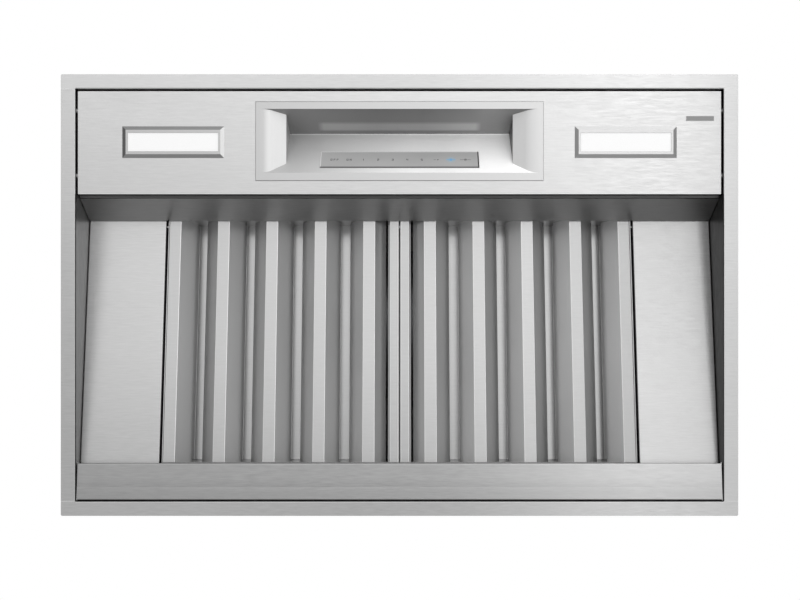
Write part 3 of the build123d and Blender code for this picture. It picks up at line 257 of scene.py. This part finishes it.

# Fascia and rail: painted highlight on the fascia's rounded edges, and painted shade in the slot behind it
# and on the rail
EDGE_BAND = (0.05, 0.25, 0.80, 0.90)
EDGE_LIGHT = 1.9
RETURN_RAMP = (1.0, 0.04, 0.6, 0.8)
# Painted shade on the rail's ledge and its bend, and painted shade growing towards the right of the rail
LEDGE_RAMP = (0.24, 1.0, RAIL_BOTTOM + 0.0011, RAIL_BOTTOM + 0.0017)
LEDGE_BEND_BAND = (RAIL_BOTTOM + 0.0002, RAIL_BOTTOM + 0.0005, RAIL_BOTTOM + 0.0011, RAIL_BOTTOM + 0.0015)
LEDGE_BEND_SHADE = 0.35
RAIL_RAMP = (0.96, 0.78, -0.35, 0.35)

# Filler panels and grease trough: painted light and shade
FILLER_LEFT_RAMP = (0.96, 0.92, -0.05, 0.20)
FILLER_RIGHT_RAMP = (0.80, 0.92, -0.05, 0.20)
MIDDLE_SOFTNESS = 0.01
# Painted light towards the right of the grease trough and painted shade towards its rear
TRAY_RIGHT_RAMP = (0.96, 1.25, 0.05, 0.32)
TRAY_REAR_RAMP = (1.0, 0.82, 0.237, 0.255)

# Control recess: painted light and shade on its frame, slope, front wall, left wing and right end
FRAME_RAMP = (0.77, 0.93, -0.18, 0.18)
SLOPE_LEAN = (-0.6, -0.4)
SLOPE_RAMP = (0.78, 1.48, -0.14, 0.02)
SLOPE_END_RAMP = (1.0, 1.17, 0.06, 0.12)
SLOPE_BEND_RAMP = (1.0, 1.5, 0.0484, 0.0490)
WALL_LEAN = (0.5, 0.7)
WALL_RAMP = (0.78, 1.10, 0.03, 0.11)
WALL_SHADE = 0.30
REFLECTION_SHADE = 0.55
REFLECTION_HEIGHT = (0.026, 0.032, 0.041, 0.045)
REFLECTION_END = (0.100, 0.108)
LEFT_WING_BAND = (0.1, 0.4, 0.6, 0.8)
LEFT_WING_LIGHT = 1.55
RIGHT_END_LEAN = (-0.95, -0.85)
RIGHT_END_PLACE = (0.1440, 0.1445)
RIGHT_END_SHADE = 0.1

# Lamp bezels: painted light and shade, with a ramp from the left lamp to the right one for each way that
# their slopes face
BEZEL_LEAN = (0.20, 0.35)
BEZEL_LEFT_RAMP = (0.38, 0.60, -0.2, 0.2)
BEZEL_RIGHT_RAMP = (2.0, 0.75, -0.2, 0.2)
BEZEL_FRONT_RAMP = (0.62, 1.25, -0.2, 0.2)
BEZEL_REAR_RAMP = (0.72, 0.80, -0.2, 0.2)
BEZEL_RAMP = (1.0, 1.15, -0.2, 0.2)

# Baffles of the filters: painted highlights on their bends, and painted light and shade on their sides and
# flats
BAFFLE_SIDE_LEAN = (0.3, 0.4)
SIDE_OUTWARD_RAMP = (1.72, 0.80, -0.24, 0.24)
SIDE_STEEP_RAMP = (0.62, 1.0, 0.66, 0.74)
SIDE_FACING_RAMP = (1.25, 0.90, -0.8, 0.8)
FLAT_RIGHT_RAMP = (1.0, 0.74, 0.16, 0.31)
FLAT_MIDDLE_RAMP = (0.92, 1.0, 0.018, 0.024)
BAFFLE_BEND_BAND = (0.02, 0.08, 0.50, 0.58)
BAFFLE_BEND_LIGHT = 1.6
BAFFLE_TONE_MOST = 2.5

# Rim of the display glass: painted highlight and painted shade
RIM_LEFT_RAMP = (1.9, 1.0, GLASS_LOW.x + 0.0009, GLASS_LOW.x + 0.0015)
RIM_FRONT_RAMP = (1.0, 1.9, GLASS_HIGH.z - 0.0025, GLASS_HIGH.z - 0.0021)
RIM_RIGHT_RAMP = (1.0, 0.06, GLASS_HIGH.x - 0.0017, GLASS_HIGH.x - 0.0013)
RIM_REAR_RAMP = (0.3, 1.0, GLASS_LOW.z + 0.0008, GLASS_LOW.z + 0.0012)


def bend_shade(tree):
    """Painted shade where a wall turns into its flange, on the inside of the body and rearwards of the
    fascia.
    """
    return largest(
        tree,
        toned(tree, within(tree, position(tree, "Z"), *BEND_BAND), BEND_SHADE),
        rising(tree, magnitude(tree, position(tree, "X")), *around(BODY_HALF.x, SHEET / 10)),
        rising(tree, magnitude(tree, position(tree, "Y")), *around(BODY_HALF.y, SHEET / 10)),
        falling(tree, position(tree, "Y"), *around(FASCIA_REAR, SHEET)),
    )


def end_wall_shade(tree):
    """Painted shade of the front and rear walls: in their bends, and on the middle of their flanges."""
    flange = falling(tree, position(tree, "Z"), *FLANGE_HEIGHT)
    middle = remap(tree, magnitude(tree, position(tree, "X")), *FLANGE_MIDDLE_RAMP)
    return product(tree, bend_shade(tree), toned_by(tree, flange, middle))


def side_wall_shade(inner_shade):
    """Painted shade of a side wall: in its bend, and on its inner face, which looks into the dark body."""

    def shade(tree):
        middle_of_sheet = BODY_HALF.x - SHEET / 2
        outside = rising(tree, magnitude(tree, position(tree, "X")), *around(middle_of_sheet, SHEET * 0.3))
        level = falling(tree, magnitude(tree, facing(tree, "X")), *SIDE_LEAN)
        wall = remap(tree, largest(tree, outside, level), inner_shade, 1.0, 0.0, 1.0)
        return product(tree, bend_shade(tree), wall)

    return shade


def fascia_shade(tree):
    """Painted highlight along the fascia's rounded edges, and painted shade, nearly black, on its rear
    return, which stands in a narrow slot.
    """
    backward = facing(tree, "Y")
    lean = largest(tree, magnitude(tree, facing(tree, "X")), magnitude(tree, backward))
    edge = toned(tree, within(tree, lean, *EDGE_BAND), EDGE_LIGHT)
    return product(tree, edge, remap(tree, backward, *RETURN_RAMP))


def rail_shade(tree):
    """Painted shade on the rail's ledge, deep in the slot behind the fascia, and at the ledge's bend; the
    rail also darkens towards the right.
    """
    height = position(tree, "Z")
    ledge = remap(tree, height, *LEDGE_RAMP)
    bend = toned(tree, within(tree, height, *LEDGE_BEND_BAND), LEDGE_BEND_SHADE)
    return product(tree, ledge, bend, remap(tree, position(tree, "X"), *RAIL_RAMP))


def filler_shade(tree):
    """Painted shade of the filler panels, changing from their front to their rear, strongest at the front of
    the right panel.
    """
    backward = position(tree, "Y")
    right = rising(tree, position(tree, "X"), *around(0, MIDDLE_SOFTNESS))
    left_tone = remap(tree, backward, *FILLER_LEFT_RAMP)
    return blended(tree, right, left_tone, remap(tree, backward, *FILLER_RIGHT_RAMP))


def tray_shade(tree):
    """Painted light towards the right end of the grease trough, and painted shade towards its rear."""
    across = remap(tree, position(tree, "X"), *TRAY_RIGHT_RAMP)
    return product(tree, across, remap(tree, position(tree, "Y"), *TRAY_REAR_RAMP))


def pod_shade(tree):
    """Painted light and shade of the control recess: a frame lighter towards the right, painted shade on the
    front wall with a painted reflection, a slope lighter towards the right under a painted highlight on its
    bend, a painted highlight on the left wing and painted shade on the right end.
    """
    across = position(tree, "X")
    off_middle = magnitude(tree, across)
    height = position(tree, "Z")
    rightward = facing(tree, "X")
    backward = facing(tree, "Y")
    reflection = product(
        tree, falling(tree, off_middle, *REFLECTION_END), within(tree, height, *REFLECTION_HEIGHT)
    )
    wall = remap(tree, reflection, WALL_SHADE, REFLECTION_SHADE, 0.0, 1.0)
    wall = product(tree, wall, remap(tree, off_middle, *WALL_RAMP))
    slope = product(
        tree,
        remap(tree, across, *SLOPE_RAMP),
        remap(tree, across, *SLOPE_END_RAMP),
        remap(tree, height, *SLOPE_BEND_RAMP),
    )
    tone = blended(tree, falling(tree, backward, *SLOPE_LEAN), remap(tree, across, *FRAME_RAMP), slope)
    tone = blended(tree, rising(tree, backward, *WALL_LEAN), tone, wall)
    wing = within(tree, rightward, *LEFT_WING_BAND)
    end = product(tree, falling(tree, rightward, *RIGHT_END_LEAN), rising(tree, across, *RIGHT_END_PLACE))
    return product(tree, tone, toned(tree, wing, LEFT_WING_LIGHT), toned(tree, end, RIGHT_END_SHADE))


def bezel_shade(tree):
    """Painted light and shade on the lamp bezels' slopes: painted shade on the left, painted highlight on the
    right.
    """
    across = position(tree, "X")
    tones = [remap(tree, across, *BEZEL_RAMP)]
    for axis, low_ramp, high_ramp in (
        ("X", BEZEL_LEFT_RAMP, BEZEL_RIGHT_RAMP),
        ("Y", BEZEL_FRONT_RAMP, BEZEL_REAR_RAMP),
    ):
        lean = facing(tree, axis)
        high = rising(tree, lean, *BEZEL_LEAN)
        low = falling(tree, lean, -BEZEL_LEAN[1], -BEZEL_LEAN[0])
        tones.append(toned_by(tree, low, remap(tree, across, *low_ramp)))
        tones.append(toned_by(tree, high, remap(tree, across, *high_ramp)))
    return product(tree, *tones)


def baffle_shade(tree):
    """Painted light and shade of the baffles: a painted highlight on their bends, and painted light and shade
    on their sides, which darken towards the outside.
    """
    across = position(tree, "X")
    rightward = facing(tree, "X")
    lean = magnitude(tree, rightward)
    side_tone = product(
        tree,
        remap(tree, product(tree, across, rightward), *SIDE_OUTWARD_RAMP),
        remap(tree, lean, *SIDE_STEEP_RAMP),
        remap(tree, rightward, *SIDE_FACING_RAMP),
    )
    flat_tone = product(
        tree, remap(tree, across, *FLAT_RIGHT_RAMP), remap(tree, magnitude(tree, across), *FLAT_MIDDLE_RAMP)
    )
    tone = blended(tree, rising(tree, lean, *BAFFLE_SIDE_LEAN), flat_tone, side_tone)
    bend = toned(tree, within(tree, lean, *BAFFLE_BEND_BAND), BAFFLE_BEND_LIGHT)
    return remap(tree, product(tree, tone, bend), 0.0, BAFFLE_TONE_MOST, 0.0, BAFFLE_TONE_MOST)


def glass_rim_shade(tree):
    """Rim of the window: painted highlight on the left and the front, painted shade on the right and the
    rear.
    """
    across = position(tree, "X")
    height = position(tree, "Z")
    bright = largest(tree, remap(tree, across, *RIM_LEFT_RAMP), remap(tree, height, *RIM_FRONT_RAMP))
    dark = smallest(tree, remap(tree, across, *RIM_RIGHT_RAMP), remap(tree, height, *RIM_REAR_RAMP))
    return product(tree, bright, dark)


# ------------------------------------------------------------------ signs printed on the display glass
# The pitch is from key to key. The middle and the drop shift the row across and down from the glass's middle.
MARK_HEIGHT = 0.0030
MARK_STROKE = 0.0006
MARK_PROUD = 0.00003
MARK_PITCH = 0.01896
MARK_MIDDLE = 0.0006
MARK_DROP = 0.0005

# A sign is a list of strokes, each from a start to an end, in shares of the mark height.
# Most letters and digits are built from the same seven bars.
LETTER_WIDTH = 0.6
LETTER_MIDDLE = LETTER_WIDTH / 2
LETTER_STEP = 1.35
TOP = ((0, 1), (LETTER_WIDTH, 1))
UPPER_RIGHT = ((LETTER_WIDTH, 1), (LETTER_WIDTH, 0.5))
LOWER_RIGHT = ((LETTER_WIDTH, 0.5), (LETTER_WIDTH, 0))
BOTTOM = ((0, 0), (LETTER_WIDTH, 0))
LOWER_LEFT = ((0, 0), (0, 0.5))
UPPER_LEFT = ((0, 0.5), (0, 1))
MIDDLE = ((0, 0.5), (LETTER_WIDTH, 0.5))
GLYPHS = {
    "1": [((LETTER_MIDDLE, 1), (LETTER_MIDDLE, 0)), ((LETTER_MIDDLE, 1), (0.1, 0.8))],
    "2": [TOP, UPPER_RIGHT, MIDDLE, LOWER_LEFT, BOTTOM],
    "3": [TOP, UPPER_RIGHT, MIDDLE, LOWER_RIGHT, BOTTOM],
    "4": [UPPER_LEFT, MIDDLE, UPPER_RIGHT, LOWER_RIGHT],
    "5": [TOP, UPPER_LEFT, MIDDLE, LOWER_RIGHT, BOTTOM],
    "O": [TOP, UPPER_RIGHT, LOWER_RIGHT, BOTTOM, LOWER_LEFT, UPPER_LEFT],
    "F": [TOP, UPPER_LEFT, LOWER_LEFT, MIDDLE],
    "N": [UPPER_LEFT, LOWER_LEFT, ((0, 1), (LETTER_WIDTH, 0)), UPPER_RIGHT, LOWER_RIGHT],
    "-": [MIDDLE],
    "+": [MIDDLE, ((LETTER_MIDDLE, 0.8), (LETTER_MIDDLE, 0.2))],
}
RING_STEPS = 12


def ring(centre, radius):
    """Strokes round a circle."""
    points = []
    for step in range(RING_STEPS + 1):
        turn = 2 * math.pi * step / RING_STEPS
        points.append((centre[0] + radius * math.cos(turn), centre[1] + radius * math.sin(turn)))
    return list(zip(points, points[1:]))


def word(letters):
    """Strokes of letters in a row, about their middle."""
    strokes = []
    for index, letter in enumerate(letters):
        shift = (index - (len(letters) - 1) / 2) * LETTER_STEP - LETTER_MIDDLE
        for start, end in GLYPHS[letter]:
            strokes.append(((start[0] + shift, start[1]), (end[0] + shift, end[1])))
    return strokes


def side_strokes(height, spans):
    """Level strokes to the left and right of a sign."""
    return [((way * near, height), (way * far, height)) for way in (-1, 1) for near, far in spans]


def lamp_sign():
    """A bulb on its cap, with rays on both sides."""
    bulb = ring((0, 0.62), 0.34)
    cap = [((-0.2, 0.08), (0.2, 0.08))]
    return bulb + cap + side_strokes(0.55, ((0.6, 1.1), (1.4, 1.9)))


def clock_sign():
    """A clock's face with its hands, between two pairs of dashes."""
    hands = [((0, 0.5), (0, 0.85)), ((0, 0.5), (0.25, 0.5))]
    return ring((0, 0.5), 0.5) + hands + side_strokes(0.5, ((0.9, 1.4), (1.7, 2.2)))


KEY_WORDS = ("OFF", "ON", "1", "2", "3", "4", "5", "-+")
KEY_SIGNS = [word(letters) for letters in KEY_WORDS] + [lamp_sign(), clock_sign()]
LIT_KEY = len(KEY_WORDS)
SAME_WAY = 0.999


def display_face():
    """Centre, upward direction and normal of the glass's visible face."""
    faces = [face for face in frame["nodes"]["display_glass"].data.polygons if face.normal.z < 0]
    normal = max(faces, key=lambda face: face.area).normal.copy()
    flat = [face for face in faces if face.normal.dot(normal) > SAME_WAY]
    centre = Vector((0, 0, 0))
    for face in flat:
        centre += face.center * face.area
    centre /= sum(face.area for face in flat)
    return centre, normal.cross(Vector((1, 0, 0))), normal


FACE_CENTRE, FACE_UPWARD, FACE_NORMAL = display_face()


def sign_place(key, point):
    """Place on the glass of a point of a key's sign."""
    key_middle = MARK_MIDDLE + (key - (len(KEY_SIGNS) - 1) / 2) * MARK_PITCH
    right = Vector((key_middle + point.x * MARK_HEIGHT, 0, 0))
    up = (point.y - 0.5) * MARK_HEIGHT - MARK_DROP
    return FACE_CENTRE + right + FACE_UPWARD * up + FACE_NORMAL * MARK_PROUD


def stroke_corners(key, start, end):
    """Corners of a stroke, half its width longer at both ends."""
    direction = Vector(end) - Vector(start)
    along = direction.normalized() * (MARK_STROKE / 2 / MARK_HEIGHT)
    side = Vector((-along.y, along.x))
    spots = ((start, -1, 1), (end, 1, 1), (end, 1, -1), (start, -1, -1))
    return [sign_place(key, Vector(point) + along * way + side * edge) for point, way, edge in spots]


def marks(name, keys, material):
    """Printed strokes of some of the keys, as one piece on the glass."""
    places = []
    faces = []
    for key in keys:
        for start, end in KEY_SIGNS[key]:
            first = len(places)
            places.extend(stroke_corners(key, start, end))
            faces.append((first, first + 1, first + 2, first + 3))
    mesh = bpy.data.meshes.new(name)
    mesh.from_pydata(places, [], faces)
    mesh.materials.append(material)
    piece = bpy.data.objects.new(name, mesh)
    bpy.context.scene.collection.objects.link(piece)
    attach(piece, "cabinet")


# ------------------------------------------------------------------ finishes
# Brushed steel: noise scales along x, y and z, and what shares of the contrast the streaks and clouds have
FLAT_GRAIN = (55.0, 1500.0, 1500.0)
SIDE_GRAIN = (1500.0, 55.0, 700.0)
FLAT_STREAKS = (60.0, 520.0, 520.0)
SIDE_STREAKS = (520.0, 60.0, 520.0)
SMOOTH_SIDE = (9.0, 4.0, 9.0)
STEEL_CLOUDS = (3.0, 7.0, 7.0)
STREAK_SHARE = 0.7
CLOUD_SHARE = 0.4
GRAIN_DEPTH = 0.00012
SMOOTH_SIDE_LEAN = (0.3, 0.4)

# Mottled coats
MOTTLE_SPREAD = 0.06
MOTTLE_STRENGTH = 0.5
MOTTLE_DEPTH = 0.00004
SATIN_DEPTH = 0.00001
CAST_DEPTH = 0.0001

# Lamp lens, display glass and printed marks
LENS_GRAIN = (900.0, 900.0, 900.0)
LENS_TONES = (0.73, 0.76)
LENS_ROUGHNESS = (0.4, 0.5)
LENS_GLOW = 0.15
GLASS_CLOUDS = (12.0, 40.0, 40.0)
GLASS_TONES = (0.37, 0.40)
GLASS_ROUGHNESS = (0.28, 0.34)
GLASS_COAT = 0.3
# Painted light: a blue halo of the lit key, put into the glass's colour
HALO_COLOUR = (0.30, 0.43, 0.52)
HALO_REACH = (0.0015, 0.0075)
HALO_STRETCH = (1.0, 1.2, 1.2)
MARK_GRAIN = (4000.0, 4000.0, 4000.0)
MARK_TONES = (0.9, 1.1)
MARK_ROUGHNESS = 0.5


def by_direction(tree, sides, flat_scale, side_scale, detail):
    """Noise with one stretch on flat faces and another on faces that look sideways."""
    flat_noise = stretched_noise(tree, flat_scale, detail)
    return blended(tree, sides, flat_noise, stretched_noise(tree, side_scale, detail))


def brushed_steel(
    name,
    base,
    roughness=0.34,
    contrast=0.05,
    spread=0.05,
    sideways=1.0,
    relief=0.35,
    metallic=1.0,
    grazing=1.0,
    smooth_sides=False,
    shade=None,
):
    """Steel brushed along X, and along Y or not at all on the faces that look sideways. The sideways tone
    paints shade on those faces, and the shade function paints light and shade by place.
    """
    material, tree, shader = new_material(name)
    side_lean = SMOOTH_SIDE_LEAN if smooth_sides else SIDE_LEAN
    sides = rising(tree, magnitude(tree, facing(tree, "X")), *side_lean)
    side_grain = SMOOTH_SIDE if smooth_sides else SIDE_GRAIN
    side_streaks = SMOOTH_SIDE if smooth_sides else SIDE_STREAKS
    grain = by_direction(tree, sides, FLAT_GRAIN, side_grain, GRAIN_DETAIL)
    streaks = by_direction(tree, sides, FLAT_STREAKS, side_streaks, SOFT_DETAIL)
    clouds = stretched_noise(tree, STEEL_CLOUDS, GRAIN_DETAIL)
    tones = [
        varied(tree, grain, base, base * contrast),
        varied(tree, streaks, 1, contrast * STREAK_SHARE),
        varied(tree, clouds, 1, contrast * CLOUD_SHARE),
        # Painted shade on the faces that look sideways
        toned(tree, sides, sideways),
    ]
    if shade is not None:
        tones.append(shade(tree))
    tree.links.new(tinted(tree, product(tree, *tones)), shader.inputs["Base Color"])
    tree.links.new(varied(tree, streaks, roughness, spread), shader.inputs["Roughness"])
    shader.inputs["Metallic"].default_value = metallic
    shader.inputs["Specular Tint"].default_value = (grazing, grazing, grazing, 1)
    if relief > 0:
        bump(tree, shader, grain, GRAIN_DEPTH, relief)
    return material


def mottled(name, tint, roughness, metallic, scale, contrast=0.08, depth=MOTTLE_DEPTH, shade=None):
    """Surface with a soft mottle: zinc coat, paint or moulded plastic."""
    material, tree, shader = new_material(name)
    cells = stretched_noise(tree, (scale, scale, scale), MOTTLE_DETAIL)
    tones = [varied(tree, cells, 1, contrast)]
    if shade is not None:
        tones.append(shade(tree))
    tree.links.new(tinted(tree, product(tree, *tones), tint), shader.inputs["Base Color"])
    tree.links.new(varied(tree, cells, roughness, MOTTLE_SPREAD), shader.inputs["Roughness"])
    shader.inputs["Metallic"].default_value = metallic
    bump(tree, shader, cells, depth, MOTTLE_STRENGTH)
    return material


def lens_material():
    """Opal diffuser, lit from behind."""
    material, tree, shader = new_material("lens_white")
    cells = stretched_noise(tree, LENS_GRAIN, SOFT_DETAIL)
    tree.links.new(tinted(tree, remap(tree, cells, *LENS_TONES)), shader.inputs["Base Color"])
    tree.links.new(remap(tree, cells, *LENS_ROUGHNESS), shader.inputs["Roughness"])
    shader.inputs["Emission Color"].default_value = (1, 1, 1, 1)
    shader.inputs["Emission Strength"].default_value = LENS_GLOW
    return material


def vector_step(tree, operation, vector, amount):
    """Vector put together with a fixed one."""
    node = tree.nodes.new("ShaderNodeVectorMath")
    node.operation = operation
    node.inputs[1].default_value = amount
    tree.links.new(vector, node.inputs[0])
    return node.outputs["Vector"]


def distance_from_lit_key(tree):
    """Distance along the window from the key that is lit, longer up and down than sideways."""
    place = tree.nodes.new("ShaderNodeTexCoord").outputs["Object"]
    away = vector_step(tree, "SUBTRACT", place, sign_place(LIT_KEY, Vector((0, 0.5))))
    length = tree.nodes.new("ShaderNodeVectorMath")
    length.operation = "LENGTH"
    tree.links.new(vector_step(tree, "MULTIPLY", away, HALO_STRETCH), length.inputs[0])
    return length.outputs["Value"]


def glass_material():
    """Grey display window with a soft sheen, a blue halo of painted light round the lit key, and painted
    light and shade on its rim.
    """
    material, tree, shader = new_material("display_glass")
    clouds = stretched_noise(tree, GLASS_CLOUDS, SOFT_DETAIL)
    light = product(tree, remap(tree, clouds, *GLASS_TONES), glass_rim_shade(tree))
    halo = falling(tree, distance_from_lit_key(tree), *HALO_REACH)
    colour = blended_colour(tree, halo, tinted(tree, light), HALO_COLOUR)
    tree.links.new(colour, shader.inputs["Base Color"])
    tree.links.new(remap(tree, clouds, *GLASS_ROUGHNESS), shader.inputs["Roughness"])
    shader.inputs["Coat Weight"].default_value = GLASS_COAT
    return material


def mark_material(name, colour, glow):
    """Printed mark, with light behind it where its glow isn't zero."""
    material, tree, shader = new_material(name)
    grain = stretched_noise(tree, MARK_GRAIN, SOFT_DETAIL)
    tree.links.new(tinted(tree, remap(tree, grain, *MARK_TONES), colour), shader.inputs["Base Color"])
    shader.inputs["Roughness"].default_value = MARK_ROUGHNESS
    shader.inputs["Emission Color"].default_value = (*colour, 1)
    shader.inputs["Emission Strength"].default_value = glow
    return material


STEEL = 0.46
end_wall_steel = brushed_steel("end_steel", STEEL, shade=end_wall_shade)
filler_steel = brushed_steel(
    "filler_steel", STEEL, spread=0.03, sideways=0.85, relief=0.15, shade=filler_shade
)
# Lit and shaded copies of the steel, each with its part's painted light and shade; the darker bases of the
# left wall and the grease trough are painted shade, and the lighter base of the rail is painted light
NODE_MATERIAL = {
    "front_shell": end_wall_steel,
    "rear_shell": end_wall_steel,
    "left_shell": brushed_steel("left_wall_steel", 0.435, shade=side_wall_shade(LEFT_INNER_SHADE)),
    # The right wall's darker grazing tint is painted shade.
    "right_shell": brushed_steel(
        "right_wall_steel", STEEL, grazing=0.7, shade=side_wall_shade(RIGHT_INNER_SHADE)
    ),
    "grease_tray": brushed_steel("tray_steel", 0.355, shade=tray_shade),
    "fascia_panel": brushed_steel("fascia_steel", STEEL, shade=fascia_shade),
    "front_rail": brushed_steel("rail_steel", 0.47, shade=rail_shade),
    "left_filler_panel": filler_steel,
    "right_filler_panel": filler_steel,
}
SLOT_MATERIAL = {
    "body_steel": brushed_steel("body_steel", STEEL, spread=0.03, sideways=0.85, relief=0.15),
    "zinc_steel": mottled("zinc_steel", (0.50, 0.51, 0.52), 0.42, 0.9, 160.0, 0.12),
    "fastener_steel": mottled("fastener_steel", (0.60, 0.60, 0.60), 0.30, 1.0, 900.0),
    "filter_steel": brushed_steel(
        "filter_steel",
        0.398,
        roughness=0.30,
        contrast=0.025,
        spread=0.02,
        relief=0,
        metallic=0.8,
        smooth_sides=True,
        shade=baffle_shade,
    ),
    "pod_satin": mottled("pod_satin", (0.63, 0.63, 0.63), 0.38, 0.3, 1400.0, 0.02, SATIN_DEPTH, pod_shade),
    "bezel_satin": mottled(
        "bezel_satin", (0.39, 0.39, 0.39), 0.36, 1.0, 1200.0, 0.03, SATIN_DEPTH, bezel_shade
    ),
    "lens_white": lens_material(),
    "display_glass": glass_material(),
    "blank_plate": mottled("blank_plate", (0.22, 0.22, 0.22), 0.45, 0.6, 1500.0, 0.05),
    "board": mottled("board", (0.03, 0.16, 0.07), 0.45, 0.0, 500.0, 0.15),
    "white_plastic": mottled("white_plastic", (0.75, 0.75, 0.73), 0.45, 0.0, 700.0, 0.04),
    "black_plastic": mottled("black_plastic", (0.03, 0.03, 0.03), 0.45, 0.0, 700.0, 0.15),
    "lead_rubber": mottled("lead_rubber", (0.09, 0.09, 0.09), 0.6, 0.0, 800.0, 0.15),
    "spring_steel": mottled("spring_steel", (0.48, 0.48, 0.47), 0.25, 1.0, 600.0),
    "motor_paint": mottled("motor_paint", (0.06, 0.06, 0.065), 0.40, 0.2, 1000.0, 0.12),
    "motor_cast": mottled("motor_cast", (0.42, 0.43, 0.44), 0.5, 1.0, 700.0, 0.15, CAST_DEPTH),
    "wheel_zinc": mottled("wheel_zinc", (0.48, 0.49, 0.50), 0.38, 0.9, 220.0, 0.1),
    "shaft_steel": mottled("shaft_steel", (0.55, 0.55, 0.55), 0.2, 1.0, 1200.0, 0.04),
}

for part in frame["record"]["subparts"]:
    node = frame["nodes"][part["node"]]
    chosen = NODE_MATERIAL.get(part["node"], SLOT_MATERIAL[part["material_slot"]])
    node.data.materials.clear()
    node.data.materials.append(chosen)

dark_keys = [key for key in range(len(KEY_SIGNS)) if key != LIT_KEY]
marks("key_marks", dark_keys, mark_material("key_marks", (0.05, 0.05, 0.05), 0.0))
marks("lit_mark", [LIT_KEY], mark_material("lit_mark", (0.06, 0.30, 0.60), 0.25))

# ------------------------------------------------------------------ studio
AMBIENT = 0.55
WORLD_SEEN = 1.0
FLOOR_Z = -2.6
FLOOR_HALF = 30.0
FLOOR_CLOUDS = (0.7, 0.7, 0.7)
FLOOR_TONES = (0.79, 0.81)
FLOOR_ROUGHNESS = 0.9
FLOOR_SPECULAR = 0.1

# Lamps just above the floor light the underside from below. Each has a middle, a width and a brightness.
UNDER_LAMP_Z = FLOOR_Z + 0.2
UNDER_LAMP_DEPTH = 1.4
FRONT_ROW = -1.0
REAR_ROW = 0.4
UNDER_LAMPS = {
    "under_front_left": (-1.15, FRONT_ROW, 1.15, 0.955),
    "under_front_middle": (0, FRONT_ROW, 1.15, 1.24),
    "under_front_right": (0.87, FRONT_ROW, 0.42, 2.85),
    "under_rear_left": (-1.15, REAR_ROW, 1.15, 0.19),
    "under_rear_middle": (0, REAR_ROW, 1.15, 0.2),
    "under_rear_right": (0.85, REAR_ROW, 0.55, 1.5),
}

# Lamps low in front light the control recess. Each has a place and a brightness.
LOW_LAMP_SIZE = 2.2
LOW_LAMP_TARGET = (0, -0.2, 0.02)
LOW_LAMPS = {
    "low_front_right": ((1.8, -2.1, -1.4), 0.9),
    "low_front": ((0, -2.6, -1.4), 0.65),
}

OVERHEAD = 1.0
OVERHEAD_SPREAD = 120
OVERHEAD_TILT = (20, -15, 0)

CAMERA_X = 0.00064
CAMERA_Y = 0.0064
CAMERA_BELOW = 1.483
CAMERA_LENS = 51.75
SENSOR_WIDTH = 36.0


def studio_world():
    """White background: one strength for the camera and reflections, and another for diffuse light."""
    world = bpy.data.worlds.new("studio")
    bpy.context.scene.world = world
    world.use_nodes = True
    tree = world.node_tree
    tree.nodes.clear()
    output = tree.nodes.new("ShaderNodeOutputWorld")
    light = tree.nodes.new("ShaderNodeBackground")
    light.inputs["Color"].default_value = (1, 1, 1, 1)
    path = tree.nodes.new("ShaderNodeLightPath")
    rays = [path.outputs[ray] for ray in ("Is Camera Ray", "Is Glossy Ray", "Is Transmission Ray")]
    seen = largest(tree, *rays)
    tree.links.new(remap(tree, seen, AMBIENT, WORLD_SEEN, 0.0, 1.0), light.inputs["Strength"])
    tree.links.new(light.outputs["Background"], output.inputs["Surface"])


def floor_piece():
    """Plain pale floor, far enough below for the camera to stand over it."""
    mesh = bpy.data.meshes.new("floor")
    outline = [(-1, -1), (1, -1), (1, 1), (-1, 1)]
    mesh.from_pydata([(x * FLOOR_HALF, y * FLOOR_HALF, FLOOR_Z) for x, y in outline], [], [(0, 1, 2, 3)])
    piece = bpy.data.objects.new("floor", mesh)
    bpy.context.scene.collection.objects.link(piece)
    material, tree, shader = new_material("floor")
    clouds = stretched_noise(tree, FLOOR_CLOUDS, GRAIN_DETAIL)
    tree.links.new(tinted(tree, remap(tree, clouds, *FLOOR_TONES)), shader.inputs["Base Color"])
    shader.inputs["Roughness"].default_value = FLOOR_ROUGHNESS
    shader.inputs["Specular IOR Level"].default_value = FLOOR_SPECULAR
    mesh.materials.append(material)


def softbox(name, place, target, width, depth, brightness):
    """Rectangular lamp that looks at a target, as bright as a white surface times its brightness."""
    data = bpy.data.lights.new(name, "AREA")
    data.shape = "RECTANGLE"
    data.size = width
    data.size_y = depth
    data.energy = brightness * math.pi * width * depth
    lamp = bpy.data.objects.new(name, data)
    direction = Vector(target) - Vector(place)
    lamp.location = place
    lamp.rotation_euler = direction.to_track_quat("-Z", "Y").to_euler()
    lamp.visible_camera = False
    bpy.context.scene.collection.objects.link(lamp)


def overhead_light():
    """Wide soft light from above, for the floor, the top and the sides."""
    data = bpy.data.lights.new("overhead", "SUN")
    data.energy = OVERHEAD
    data.angle = math.radians(OVERHEAD_SPREAD)
    lamp = bpy.data.objects.new("overhead", data)
    lamp.rotation_euler = [math.radians(tilt) for tilt in OVERHEAD_TILT]
    bpy.context.scene.collection.objects.link(lamp)


def photo_camera():
    """Camera of the photograph: below the insert, looking straight up."""
    data = bpy.data.cameras.new("photo_camera")
    data.lens = CAMERA_LENS
    data.sensor_width = SENSOR_WIDTH
    camera = bpy.data.objects.new("photo_camera", data)
    camera.location = (CAMERA_X, CAMERA_Y, -CAMERA_BELOW)
    camera.rotation_euler = (math.pi, 0, 0)
    bpy.context.scene.collection.objects.link(camera)
    bpy.context.scene.camera = camera


studio_world()
floor_piece()
for lamp_name, (x, y, width, brightness) in UNDER_LAMPS.items():
    softbox(lamp_name, (x, y, UNDER_LAMP_Z), (x, y, 0), width, UNDER_LAMP_DEPTH, brightness)
for lamp_name, (place, brightness) in LOW_LAMPS.items():
    softbox(lamp_name, place, LOW_LAMP_TARGET, LOW_LAMP_SIZE, LOW_LAMP_SIZE, brightness)
overhead_light()
photo_camera()
bpy.context.scene.view_settings.view_transform = "Standard"
